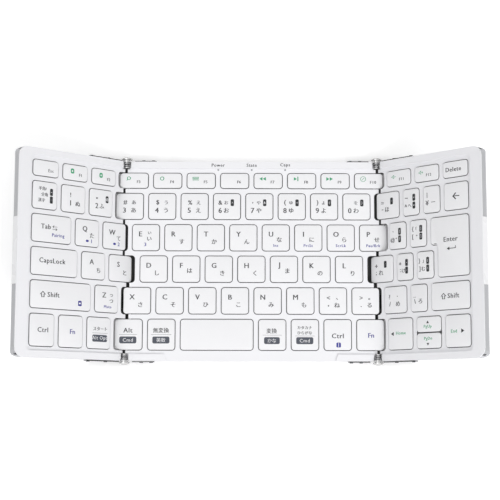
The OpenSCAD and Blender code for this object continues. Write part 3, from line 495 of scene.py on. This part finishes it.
def middle_of(place):
    x0, x1, y0, y1 = place
    return (x0 + x1) / 2, (y0 + y1) / 2


# ---- Shader helpers ----

# A Mix node set to colours takes these sockets.
FACTOR, FIRST, SECOND, RESULT = 0, 6, 7, 2


def linear(value):
    """An sRGB value from 0 to 255 as linear light."""
    c = value / 255
    return c / 12.92 if c <= 0.04045 else ((c + 0.055) / 1.055) ** 2.4


def colour(r, g, b):
    return (linear(r), linear(g), linear(b), 1.0)


def feed(tree, socket, value):
    """Gives a socket a number, a vector or colour, or a link from another socket."""
    if isinstance(value, (int, float, tuple)):
        socket.default_value = value
    else:
        tree.links.new(value, socket)


def maths(tree, operation, *values, clamp=False):
    node = tree.nodes.new("ShaderNodeMath")
    node.operation = operation
    node.use_clamp = clamp
    for socket, value in zip(node.inputs, values):
        feed(tree, socket, value)
    return node.outputs["Value"]


def vector_maths(tree, operation, output, *values):
    node = tree.nodes.new("ShaderNodeVectorMath")
    node.operation = operation
    for socket, value in zip(node.inputs, values):
        feed(tree, socket, value)
    return node.outputs[output]


def axes_of(tree, vector):
    node = tree.nodes.new("ShaderNodeSeparateXYZ")
    tree.links.new(vector, node.inputs["Vector"])
    return node.outputs


def ramp(tree, value, smooth=False, **ends):
    """A Map Range node; ends are from_min, from_max, to_min and to_max."""
    node = tree.nodes.new("ShaderNodeMapRange")
    if smooth:
        node.interpolation_type = "SMOOTHSTEP"
    for label, end in ends.items():
        feed(tree, node.inputs[label.replace("_", " ").title()], end)
    tree.links.new(value, node.inputs["Value"])
    return node.outputs["Result"]


def blended(tree, factor, first, second, blend="MIX"):
    node = tree.nodes.new("ShaderNodeMix")
    node.data_type = "RGBA"
    node.blend_type = blend
    for socket, value in ((FACTOR, factor), (FIRST, first), (SECOND, second)):
        feed(tree, node.inputs[socket], value)
    return node.outputs[RESULT]


def near_fold(tree, x, reach):
    """1 within reach of a fold line, and 0 elsewhere."""
    away = maths(tree, "SUBTRACT", maths(tree, "ABSOLUTE", x), HINGE_X * MM)
    return maths(tree, "LESS_THAN", maths(tree, "ABSOLUTE", away), reach)


def principled(made):
    return next(n for n in made.node_tree.nodes if n.type == "BSDF_PRINCIPLED")


def base_of(made):
    """The colour that feeds a material's shader so far."""
    return principled(made).inputs["Base Color"].links[0].from_socket


# ---- Effects that several materials share ----


def new_group(name, inputs, outputs):
    group = bpy.data.node_groups.new(name, "ShaderNodeTree")
    for label, value in inputs.items():
        kind = "NodeSocketVector" if isinstance(value, tuple) else "NodeSocketFloat"
        group.interface.new_socket(name=label, in_out="INPUT", socket_type=kind).default_value = value
    for label, kind in outputs.items():
        group.interface.new_socket(name=label, in_out="OUTPUT", socket_type="NodeSocket" + kind)
    given, out = group.nodes.new("NodeGroupInput"), group.nodes.new("NodeGroupOutput")
    return group, given.outputs, out.inputs, group.nodes.new("ShaderNodeTexCoord").outputs


def noise(tree, vector, scale, detail, roughness=0.5):
    node = tree.nodes.new("ShaderNodeTexNoise")
    node.inputs["Detail"].default_value = detail
    node.inputs["Roughness"].default_value = roughness
    tree.links.new(vector, node.inputs["Vector"])
    tree.links.new(scale, node.inputs["Scale"])
    return node.outputs["Fac"]


def bumped(tree, height, strength):
    node = tree.nodes.new("ShaderNodeBump")
    node.inputs["Distance"].default_value = 0.02 * MM
    tree.links.new(strength, node.inputs["Strength"])
    tree.links.new(height, node.inputs["Height"])
    return node.outputs["Normal"]


def moulded_grain():
    """Fine spark-eroded texture of a moulding: a bumped normal and a mask for small changes of tone."""
    group, given, out, place = new_group(
        "moulded_grain", {"Grain": 9000.0, "Depth": 0.12, "Patches": 60.0},
        {"Normal": "Vector", "Mask": "Float"})
    fine = noise(group, place["Object"], given["Grain"], 3.0, 0.6)
    group.links.new(bumped(group, fine, given["Depth"]), out["Normal"])
    group.links.new(noise(group, place["Object"], given["Patches"], 2.0), out["Mask"])
    return group


def brushed_lines():
    """Fine lines along Y from brushing or grinding: a bumped normal and a mask for tone and roughness."""
    group, given, out, place = new_group(
        "brushed_lines", {"Lines": 4000.0, "Depth": 0.2}, {"Normal": "Vector", "Mask": "Float"})
    stretch = group.nodes.new("ShaderNodeMapping")
    stretch.inputs["Scale"].default_value = (1.0, 0.03, 1.0)
    group.links.new(place["Object"], stretch.inputs["Vector"])
    fine = noise(group, stretch.outputs["Vector"], given["Lines"], 2.0)
    group.links.new(bumped(group, fine, given["Depth"]), out["Normal"])
    group.links.new(fine, out["Mask"])
    return group


def depth_shade():
    """How dark a gap looks: 1 at and above a level, falling to the lowest value below it."""
    group, given, out, place = new_group(
        "depth_shade", {"Level": 0.0, "Fade": 0.0006, "Lowest": 0.3, "Up": (0.0, 0.0, 1.0)},
        {"Shade": "Float"})
    axes = axes_of(group, place["Object"])
    height = vector_maths(group, "DOT_PRODUCT", "Value", place["Object"], given["Up"])
    below = maths(group, "DIVIDE", maths(group, "SUBTRACT", height, given["Level"]), given["Fade"])
    rise = maths(group, "ADD", below, 1.0, clamp=True)
    outside = maths(group, "GREATER_THAN", maths(group, "ABSOLUTE", axes["Y"]), SHADED_Y * MM)
    sideways = maths(group, "ABSOLUTE", axes_of(group, place["Normal"])["X"])
    steep = maths(group, "GREATER_THAN", sideways, 0.55)
    beside_fold = maths(group, "MULTIPLY", near_fold(group, axes["X"], SEAM_REACH * MM), steep)
    lighter = maths(
        group, "MULTIPLY_ADD", beside_fold, SEAM_LIFT, maths(group, "MAXIMUM", rise, outside), clamp=True)
    group.links.new(ramp(group, lighter, to_min=given["Lowest"], to_max=1.0), out["Shade"])
    return group


def seam_shade():
    """How dark the walls inside a seam look: the lowest value on walls next to a fold line, 1 elsewhere."""
    group, given, out, place = new_group(
        "seam_shade", {"Lowest": 0.1, "Half length": 0.0578, "Reach": 0.0125, "Up": (0.0, 0.0, 1.0)},
        {"Shade": "Float"})
    axes = axes_of(group, place["Object"])
    lean = vector_maths(group, "DOT_PRODUCT", "Value", place["Normal"], given["Up"])
    inside = maths(group, "LESS_THAN", maths(group, "ABSOLUTE", axes["Y"]), given["Half length"])
    wall = maths(group, "LESS_THAN", maths(group, "ABSOLUTE", lean), 0.9)
    mask = maths(
        group, "MULTIPLY", maths(group, "MULTIPLY", inside, near_fold(group, axes["X"], given["Reach"])), wall)
    group.links.new(ramp(group, mask, to_min=1.0, to_max=given["Lowest"]), out["Shade"])
    return group


GRAIN = moulded_grain()
BRUSHED = brushed_lines()
DEPTH = depth_shade()
SEAM = seam_shade()

# ---- Materials ----
# A finish is (effect, its settings, darker and lighter tone, roughness from and to, other shader values).


def moulded(grain, depth, low, high, shine, others=None):
    return (GRAIN, {"Grain": grain, "Depth": depth}, (colour(*low), colour(*high)), shine, others or {})


def ground(lines, depth, low, high, shine):
    return (BRUSHED, {"Lines": lines, "Depth": depth}, (colour(*low), colour(*high)), shine, {"Metallic": 1.0})


CASING = moulded(7000.0, 0.10, (240, 240, 243), (243, 243, 246), (0.32, 0.38))
KEY = moulded(9000.0, 0.14, (241, 241, 243), (244, 244, 246), (0.42, 0.48))
FINISHES = {
    "key_white": KEY,
    "insert_white": moulded(7000.0, 0.05, (240, 240, 242), (244, 244, 246), (0.25, 0.3)),
    "hinge_chrome": ground(5000.0, 0.04, (236, 236, 236), (242, 242, 242), (0.2, 0.26)),
    "strap_steel": ground(5000.0, 0.04, (124, 124, 126), (136, 136, 138), (0.16, 0.22)),
    "washer_steel": ground(5000.0, 0.1, (176, 176, 178), (190, 190, 192), (0.22, 0.32)),
    "screw_steel": ground(5000.0, 0.1, (70, 71, 74), (88, 89, 92), (0.25, 0.35)),
    # The key plate's steel is given a dark tone that stands in for the shade of the gaps it is seen through:
    # painted shade.
    "plate_steel": ground(3000.0, 0.2, (78, 79, 82), (92, 93, 96), (0.3, 0.4)),
    "port_steel": ground(5000.0, 0.1, (176, 177, 180), (190, 191, 194), (0.2, 0.3)),
    # The membrane's silicone is painted dark grey, darker than its own colour, as painted shade for the gaps
    # it is seen through.
    "silicone": moulded(3000.0, 0.1, (84, 84, 88), (96, 96, 100), (0.5, 0.6)),
    "scissor_plastic": moulded(5000.0, 0.1, (222, 220, 212), (230, 228, 220), (0.4, 0.5)),
    "foot_rubber": moulded(5000.0, 0.4, (74, 74, 76), (88, 88, 90), (0.75, 0.85)),
    "board_green": moulded(2500.0, 0.15, (24, 92, 54), (32, 108, 64), (0.3, 0.4)),
    "cell_foil": moulded(900.0, 0.4, (170, 172, 176), (188, 190, 194), (0.25, 0.4), {"Metallic": 0.9}),
    "lamp_clear": moulded(5000.0, 0.02, (150, 152, 156), (164, 166, 170), (0.1, 0.15), {"Coat Weight": 0.5}),
    "flex_film": moulded(2500.0, 0.05, (26, 26, 28), (34, 34, 36), (0.35, 0.45)),
}
# The wing shells are silver. Their grey tone, darker than the white centre shell, is partly painted shade on
# their outer sides, and the left shell is painted darker than the right as painted shade.
SHELLS = {
    -1: moulded(12000.0, 0.2, (178, 179, 182), (186, 187, 190), (0.38, 0.46), {"Metallic": 0.6}),
    0: CASING,
    1: moulded(12000.0, 0.2, (184, 185, 188), (192, 193, 196), (0.38, 0.46), {"Metallic": 0.6}),
}
PAPER = (GRAIN, {"Grain": 300.0, "Depth": 0.0, "Patches": 2.0},
         (colour(250, 250, 250), colour(251, 251, 251)), (0.9, 0.95), {})
# Level, fade and lowest shade of the gaps round the keycaps and of the keycaps' own edges.
DECK_SHADE = (DECK_TOP - 0.08, 0.35, 0.22)
KEY_SHADE = (KEY_TOP - 0.25, 0.3, 0.45)
INKS = {
    "grey": colour(62, 62, 66), "pale": colour(110, 110, 114), "dark": colour(40, 41, 44),
    "green": colour(60, 158, 112), "blue": colour(56, 58, 146), "violet": colour(66, 62, 140),
    "white": colour(240, 240, 243), "slate": colour(78, 82, 92),
}


def up_of(side):
    """Which way is up on a panel."""
    return wing_turn(side).to_3x3() @ Vector((0, 0, 1))


def on_panel(side, z):
    """Where a flat height of a panel lies at its fold line, in metres."""
    return wing_turn(side) @ (Vector((side * HINGE_X, 0, z)) * MM)


def darkened(tree, tone, group, settings):
    darker = tree.nodes.new("ShaderNodeGroup")
    darker.node_tree = group
    for label, value in settings.items():
        darker.inputs[label].default_value = value
    return blended(tree, 1.0, tone, darker.outputs["Shade"], "MULTIPLY")


def finish_of(name, finish, side=0, shade=None, seam=False):
    """A material of one colour range and one roughness range, both led by the effect's mask.

    shade is (level, fade, lowest) and darkens what lies below that level of the side's panel.
    seam darkens the walls of the panel's shell at the fold lines."""
    effect_group, settings, tones, shine, others = finish
    made = bpy.data.materials.new(name)
    made.use_nodes = True
    tree = made.node_tree
    shader = principled(made)
    for label, value in others.items():
        shader.inputs[label].default_value = value
    effect = tree.nodes.new("ShaderNodeGroup")
    effect.node_tree = effect_group
    for label, value in settings.items():
        effect.inputs[label].default_value = value
    mask = effect.outputs["Mask"]
    tone = blended(tree, mask, *tones)
    roughness = ramp(tree, mask, from_min=0.3, from_max=0.7, to_min=shine[0], to_max=shine[1])
    up = up_of(side)
    if shade:
        level, fade, lowest = shade
        height = up.dot(on_panel(side, level))
        tone = darkened(tree, tone, DEPTH, {"Up": up, "Level": height, "Fade": fade * MM, "Lowest": lowest})
    if seam:
        tone = darkened(tree, tone, SEAM, {"Up": up})
    tree.links.new(tone, shader.inputs["Base Color"])
    tree.links.new(roughness, shader.inputs["Roughness"])
    tree.links.new(effect.outputs["Normal"], shader.inputs["Normal"])
    return made


def painted_reflection_rim(made, dark, blend):
    """Painted reflection: the colour darkens towards the outline, standing in for polished metal mirroring the
    dark of a room.
    """
    tree = made.node_tree
    edge = tree.nodes.new("ShaderNodeLayerWeight")
    edge.inputs["Blend"].default_value = blend
    tone = blended(tree, edge.outputs["Facing"], base_of(made), dark)
    tree.links.new(tone, principled(made).inputs["Base Color"])


def bright_eyes(made, bright):
    """The eyes of the hinge leaves, near the fold line, are polished and brighter than their straps."""
    tree = made.node_tree
    place = tree.nodes.new("ShaderNodeTexCoord").outputs["Object"]
    mask = near_fold(tree, axes_of(tree, place)["X"], BRIGHT_EYE * MM)
    tree.links.new(blended(tree, mask, base_of(made), bright), principled(made).inputs["Base Color"])


def ink(name):
    tone = INKS[name]
    lighter = tuple(min(1.0, c * 1.08) for c in tone[:3]) + (1.0,)
    settings = {"Grain": 6000.0, "Depth": 0.05, "Patches": 400.0}
    return finish_of("print_" + name, (GRAIN, settings, (tone, lighter), (0.5, 0.6), {}))


MATERIALS = {name: finish_of(name, finish) for name, finish in FINISHES.items()}
for side, panel in PANEL.items():
    for name, finish, details in (
        ("casing_white_", CASING, {"shade": DECK_SHADE}),
        ("key_white_", KEY, {"shade": KEY_SHADE}),
        ("shell_", SHELLS[side], {"seam": True}),
    ):
        MATERIALS[name + panel] = finish_of(name + panel, finish, side, **details)
PRINTS = {name: ink(name) for name in INKS}
bright_eyes(MATERIALS["strap_steel"], colour(226, 226, 226))
# Painted reflections: dark rims painted on the hinge chrome and on the washers.
painted_reflection_rim(MATERIALS["hinge_chrome"], colour(78, 74, 70), 0.3)
painted_reflection_rim(MATERIALS["washer_steel"], colour(30, 30, 30), 0.5)

SLOTS = {entry["node"]: entry["material_slot"] for entry in frame["record"]["subparts"]}
for name, slot in SLOTS.items():
    panel = name.split("_")[0]
    if name.endswith("top_frame"):
        slot = "casing_white_" + panel
    elif name.endswith("hinge_leaves"):
        slot = "strap_steel"
    elif name.endswith("bottom_shell"):
        slot = "shell_" + panel
    materials = frame["nodes"][name].data.materials
    materials.clear()
    materials.append(MATERIALS[slot])

# ---- Keycaps ----


def ease_and_hollow(cap):
    choose(cap, "faces", facing_up)
    bpy.ops.mesh.region_to_loop()
    bpy.ops.mesh.bevel(offset=KEY_EASE * MM, segments=3, affect="EDGES")
    choose(cap, "faces", facing_down)
    bpy.ops.mesh.inset(thickness=KEY_SKIRT * MM)
    push(0, 0, (KEY_HEIGHT - KEY_ROOF) * MM)
    done()
    cap.data.materials.append(MATERIALS["key_white"])
    return cap


def eased_cap(width, depth):
    """One keycap, centred on the origin: round corners, an eased upper edge and a hollow underneath."""
    cap = block("cap", -width / 2, width / 2, -depth / 2, depth / 2, KEY_TOP - KEY_HEIGHT, KEY_TOP)
    edit(cap)
    round_corners(cap, KEY_CORNER, 5)
    return ease_and_hollow(cap)


def enter_cap():
    """The tall keycap whose rear part is wider, its place in its mesh."""
    x0, _, y0, y1 = RIGHT_UPPER[0]
    tall_x0, tall_x1, tall_y0, _ = RIGHT_HOME[0]
    cap = block("cap", tall_x0, tall_x1, tall_y0, y1, KEY_TOP - KEY_HEIGHT, KEY_TOP)
    edit(cap)
    bpy.ops.mesh.select_all(action="SELECT")
    bpy.ops.mesh.bisect(plane_co=Vector((0, y0, 0)) * MM, plane_no=(0, 1, 0))
    choose(cap, "faces", lambda f: f.normal.x < -0.9 and f.calc_center_median().y > y0 * MM)
    push((x0 - tall_x0) * MM, 0, 0)
    bpy.ops.mesh.select_all(action="SELECT")
    bpy.ops.mesh.dissolve_limited(angle_limit=0.01)
    round_corners(cap, KEY_CORNER, 5)
    return ease_and_hollow(cap)


def make_caps():
    templates = {}
    for node, (side, places) in KEY_PLACES.items():
        parts = []
        for place in places:
            if node == "enter_key":
                size, centre = node, at(0, 0)
            else:
                x0, x1, y0, y1 = place
                size, centre = (round(x1 - x0, 3), round(y1 - y0, 3)), at(*middle_of(place))
            if size not in templates:
                templates[size] = enter_cap() if size == "enter_key" else eased_cap(*size)
            parts.append(copy_of(templates[size], wing_turn(side) @ centre))
        caps = join(parts, node + ("_cap" if node.endswith("key") else "_caps"))
        caps.data.materials[0] = MATERIALS["key_white_" + PANEL[side]]
        bpy.ops.object.shade_smooth_by_angle(angle=SMOOTH_BELOW)
        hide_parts(node)
        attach(caps, node)
    remove_all(templates.values())


# ---- Printed marks ----


def centred(obj):
    """Centres a flat mark on the origin."""
    xs = [v.co.x for v in obj.data.vertices]
    ys = [v.co.y for v in obj.data.vertices]
    obj.data.transform(Matrix.Translation((-(min(xs) + max(xs)) / 2, -(min(ys) + max(ys)) / 2, 0)))
    return obj


def written(text, size, name):
    """A mark in letters, centred, as a mesh. All but white ones are struck twice, for a fuller stroke."""
    clear_selection()
    bpy.ops.object.text_add()
    obj = bpy.context.object
    obj.data.body = text
    obj.data.size = size * MM
    obj.data.resolution_u = 2
    obj.data.space_character = 1.12 if len(text) > 2 and text.isascii() else 1.0
    obj.data.extrude = INK_THICK * MM
    bpy.ops.object.convert(target="MESH")
    obj = bpy.context.object
    obj.data.materials.clear()
    obj.data.materials.append(PRINTS[name])
    if name != "white":
        second = copy_of(obj, at(STROKE * size / 2, 0, INK_STEP))
        obj.data.transform(at(-STROKE * size / 2, 0))
        obj = join([obj, second], obj.name)
    return centred(obj)


def patch(width, depth, corner, name):
    """A printed area with round corners, centred."""
    obj = block("patch", -width / 2, width / 2, -depth / 2, depth / 2, -INK_THICK, INK_THICK)
    if corner:
        edit(obj)
        round_corners(obj, corner, 3)
        done()
    obj.data.materials.append(PRINTS[name])
    return obj


# Signs made of patches, each on top of the one before: (width, depth, corner, ink).
SIGNS = {
    "chip": [(1.9, 1.3, 0.5, "blue")],
    "radio": [(2.3, 2.9, 0.8, "green"), (0.8, 1.1, 0.35, "white")],
    "lock": [(2.4, 3.0, 0.5, "violet"), (1.2, 0.9, 0.3, "white")],
    "window": [(2.6, 2.8, 0.5, "blue"), (0.3, 2.2, 0, "white")],
}


def mark_shapes(text, size, kind):
    """The shapes of one mark and how far each lies above the cap's face."""
    if kind == "pill":
        return [(patch(1.95, 4.0, 0.55, "dark"), 0.0), (written(text, size, "white"), INK_THICK)]
    if kind == "badge":
        height = 2.9 if text.isascii() else 2.7
        return [(patch(size, 4.0, 0.9, "slate"), 0.0), (written(text, height, "white"), INK_THICK)]
    if kind == "return":
        line, turn, tip = patch(5.0, 0.42, 0, "dark"), patch(0.42, 1.5, 0, "dark"), written("◀", 2.1, "dark")
        for shape, x, y in ((line, 0.3, 0.0), (turn, 2.65, 0.6), (tip, -2.3, 0.0)):
            shape.data.transform(at(x, y))
        return [(line, 0.0), (turn, 0.0), (tip, 0.0)]
    if kind == "rule":
        return [(patch(size, 0.16, 0, "pale"), 0.0)]
    if kind in SIGNS:
        return [(patch(*sizes), layer * INK_THICK) for layer, sizes in enumerate(SIGNS[kind])]
    return [(written(text, size, kind), 0.0)]


def make_marks():
    glyphs = {}
    for node, rows in MARKS.items():
        side, places = KEY_PLACES[node]
        parts = []
        for (x0, x1, y0, y1), marks in zip(places, rows):
            for text, u, v, size, kind in marks:
                glyph = (text, size, kind)
                if glyph not in glyphs:
                    glyphs[glyph] = mark_shapes(*glyph)
                x, y = x0 + u * (x1 - x0), y1 - v * (y1 - y0)
                for shape, lift in glyphs[glyph]:
                    parts.append(copy_of(shape, wing_turn(side) @ at(x, y, KEY_TOP + lift)))
        prints = join(parts, node + "_print")
        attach(prints, node)
    remove_all(shape for shapes in glyphs.values() for shape, _ in shapes)


def make_lamp_words():
    shapes = [written(word, LAMP_WORD, "grey") for word in ("Power", "State", "Caps")]
    parts = [copy_of(shape, at(k * LAMP_PITCH, LAMP_WORD_Y, RIM_TOP)) for k, shape in enumerate(shapes, -1)]
    remove_all(shapes)
    words = join(parts, "lamp_words")
    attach(words, "centre_panel")


# ---- What lies under the keycaps ----


def kept_part(node, side, name, keep):
    """A copy of a built node, in edit mode, with only the points that pass the test.

    The test is given a point's place on the flat keyboard, in millimetres."""
    clear_selection()
    part = copy_of(node, node.matrix_world)
    part.name = name
    edit(part)
    bpy.ops.mesh.select_all(action="SELECT")
    bpy.ops.mesh.remove_doubles(threshold=0.001 * MM)
    flat = wing_turn(side).inverted()
    choose(part, "verts", lambda v: not keep((flat @ v.co) / MM))
    bpy.ops.mesh.delete(type="VERT")
    return part


def make_films():
    """The sheets under the keys, without their domes, which are pieces of their own."""

    def in_the_sheet(point):
        return point.z < FILM_TOP + FLAT_SLACK

    for side, panel in PANEL.items():
        membrane = panel + "_switch_membrane"
        film = kept_part(frame["nodes"][membrane], side, panel + "_switch_film", in_the_sheet)
        bpy.ops.mesh.select_all(action="SELECT")
        bpy.ops.mesh.fill_holes(sides=0)
        done()
        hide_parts(membrane)
        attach(film, BODY[side])


def sink(piece, side):
    """Attaches a piece under a row of keys to its panel's body, with a mesh of its own."""
    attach(piece, BODY[side])
    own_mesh(piece)


def dome(foot):
    """One dome, centred on the origin: a round disc drawn up to a narrower head."""
    clear_selection()
    bpy.ops.mesh.primitive_circle_add(
        vertices=32, radius=foot * MM, fill_type="NGON", location=(0, 0, FILM_TOP * MM))
    bpy.ops.object.transform_apply(location=True)
    obj = bpy.context.object
    edit(obj)
    bpy.ops.mesh.select_all(action="SELECT")
    push(0, 0, (KEY_TOP - KEY_ROOF - FILM_TOP - DOME_GAP) * MM)
    bpy.ops.transform.resize(value=(DOME_HEAD, DOME_HEAD, 1), center_override=(0, 0, FILM_TOP * MM))
    bpy.ops.mesh.select_all(action="SELECT")
    bpy.ops.mesh.normals_make_consistent(inside=False)
    done()
    return obj


def make_domes():
    tall, short = dome(DOME_FOOT), dome(DOME_FOOT * SHORT_KEY_DOME)
    for node, (side, places) in KEY_PLACES.items():
        parts = []
        for place in places:
            template = tall if place[3] - place[2] >= SHORT_KEY else short
            parts.append(copy_of(template, wing_turn(side) @ at(*middle_of(place))))
        domes = join(parts, node + ("_dome" if node.endswith("key") else "_domes"))
        bpy.ops.object.shade_smooth_by_angle(angle=SMOOTH_BELOW)
        membrane = PANEL[side] + "_switch_membrane"
        domes.data.materials.append(MATERIALS[SLOTS[membrane]])
        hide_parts(membrane)
        sink(domes, side)
    remove_all((tall, short))


def make_links():
    for key_node, (side, places) in KEY_PLACES.items():
        scissors = PANEL[side] + "_scissors"

        def under_these_keys(point):
            return any(x0 < point.x < x1 and y0 < point.y < y1 for x0, x1, y0, y1 in places)

        links = kept_part(frame["nodes"][scissors], side, key_node + "_links", under_these_keys)
        done()
        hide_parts(scissors)
        sink(links, side)


def make_flex_cable(side):
    """The flat cable that crosses a fold line: straight ends joined by an arc about the hinge axis."""
    panel = PANEL[side]
    low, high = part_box(panel + "_flex_cable")
    radius = AXIS_Z * MM - (low[2] + FLEX_THICK * MM / 2)
    turn, end = raise_of(side), FLEX_END * MM
    axis = Vector((side * HINGE_X * MM, (low[1] + high[1]) / 2, AXIS_Z * MM))
    first = axis - Vector((0, 0, radius))
    clear_selection()
    bpy.ops.mesh.primitive_plane_add(size=1, location=first - Vector((side * end / 2, 0, 0)))
    strip = bpy.context.object
    strip.name = panel + "_flat_cable"
    strip.scale = (end, high[1] - low[1], 1)
    bpy.ops.object.transform_apply(location=True, rotation=True, scale=True)
    edit(strip)
    choose(strip, "edges", lambda e: all(abs(v.co.x - first.x) < 1e-6 for v in e.verts))
    bpy.ops.mesh.spin(steps=FLEX_STEPS, angle=turn, center=axis, axis=(0, side, 0))
    push(side * end * math.cos(turn), 0, end * math.sin(turn))
    bpy.ops.mesh.select_all(action="SELECT")
    bpy.ops.mesh.remove_doubles(threshold=0.001 * MM)
    bpy.ops.mesh.normals_make_consistent(inside=False)
    bpy.ops.mesh.solidify(thickness=FLEX_THICK * MM * 0.9)
    done()
    strip.data.materials.append(MATERIALS["flex_film"])
    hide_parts(panel + "_flex_cable")
    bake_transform(strip)


make_films()
make_domes()
make_links()
make_caps()
make_marks()
make_lamp_words()
make_flex_cable(-1)
make_flex_cable(1)

# ---- Floor, light and camera ----


def make_floor():
    clear_selection()
    bpy.ops.mesh.primitive_plane_add(size=FLOOR_SIZE)
    floor = bpy.context.object
    floor.name = "floor"
    paper = finish_of("floor_paper", PAPER)
    tree, shader = paper.node_tree, principled(paper)
    place = tree.nodes.new("ShaderNodeTexCoord").outputs["Object"]
    axes = axes_of(tree, vector_maths(tree, "ABSOLUTE", "Vector", place))

    def clear_of(edges, fade, low, high):
        """low within the edges about the origin, rising to high beyond them."""
        sides = [
            ramp(tree, axes[axis], smooth=True, from_min=edge, from_max=edge + fade, to_min=low, to_max=high)
            for axis, edge in zip("XY", edges)
        ]
        return maths(tree, "MAXIMUM", *sides)

    # The paper glows only clear of the keyboard. Near it the glow fades out, a painted contact shadow, and
    # right under it the paper's colour is darkened, a painted shadow.
    shader.inputs["Emission Color"].default_value = (1, 1, 1, 1)
    tree.links.new(clear_of(GLOW_EDGE, GLOW_FADE, 0.0, FLOOR_GLOW), shader.inputs["Emission Strength"])
    under = clear_of(PAINTED_SHADOW_EDGE, PAINTED_SHADOW_FADE, PAINTED_SHADOW_TONE, 1.0)
    tree.links.new(blended(tree, 1.0, base_of(paper), under, "MULTIPLY"), shader.inputs["Base Color"])
    floor.data.materials.append(paper)


def soft_light(name, place, size, power):
    """A round soft box that looks at the origin."""
    light = bpy.data.lights.new(name, "AREA")
    light.shape = "DISK"
    light.size = size
    light.energy = power
    obj = bpy.data.objects.new(name, light)
    bpy.context.scene.collection.objects.link(obj)
    obj.location = place
    obj.rotation_euler = (-Vector(place)).to_track_quat("-Z", "Y").to_euler()


def make_world(strength, horizon):
    """Soft light from above that falls off towards the horizon; the room itself is seen as pale."""
    world = bpy.data.worlds.new("studio")
    bpy.context.scene.world = world
    world.use_nodes = True
    tree = world.node_tree
    background = tree.nodes["Background"]
    background.inputs["Color"].default_value = (1, 1, 1, 1)
    place = tree.nodes.new("ShaderNodeTexCoord").outputs["Generated"]
    height = axes_of(tree, place)["Z"]
    rise = ramp(tree, height, smooth=True, from_min=0.05, from_max=0.55, to_min=horizon, to_max=strength)
    seen = tree.nodes.new("ShaderNodeLightPath").outputs["Is Camera Ray"]
    tree.links.new(maths(tree, "MAXIMUM", rise, seen), background.inputs["Strength"])


def make_camera():
    tilt = math.radians(CAMERA_TILT)
    back = Vector((0, -math.sin(tilt), math.cos(tilt)))
    data = bpy.data.cameras.new("camera")
    data.sensor_width = CAMERA_SENSOR
    data.lens = CAMERA_LENS
    data.clip_start = 0.05
    obj = bpy.data.objects.new("camera", data)
    bpy.context.scene.collection.objects.link(obj)
    roll = Matrix.Rotation(math.radians(CAMERA_ROLL), 4, "Z")
    turn = (-back).to_track_quat("-Z", "Y").to_matrix().to_4x4() @ roll
    obj.matrix_world = Matrix.Translation(CAMERA_AIM + back * CAMERA_AWAY) @ turn
    bpy.context.scene.camera = obj


make_floor()
make_world(0.70, 0.2)
soft_light("key_light", (0.36, -0.78, 0.87), 0.7, 6.0)
soft_light("fill_light", (-0.5, 0.3, 1.4), 1.2, 2.5)
make_camera()
bpy.context.scene.view_settings.view_transform = "Standard"
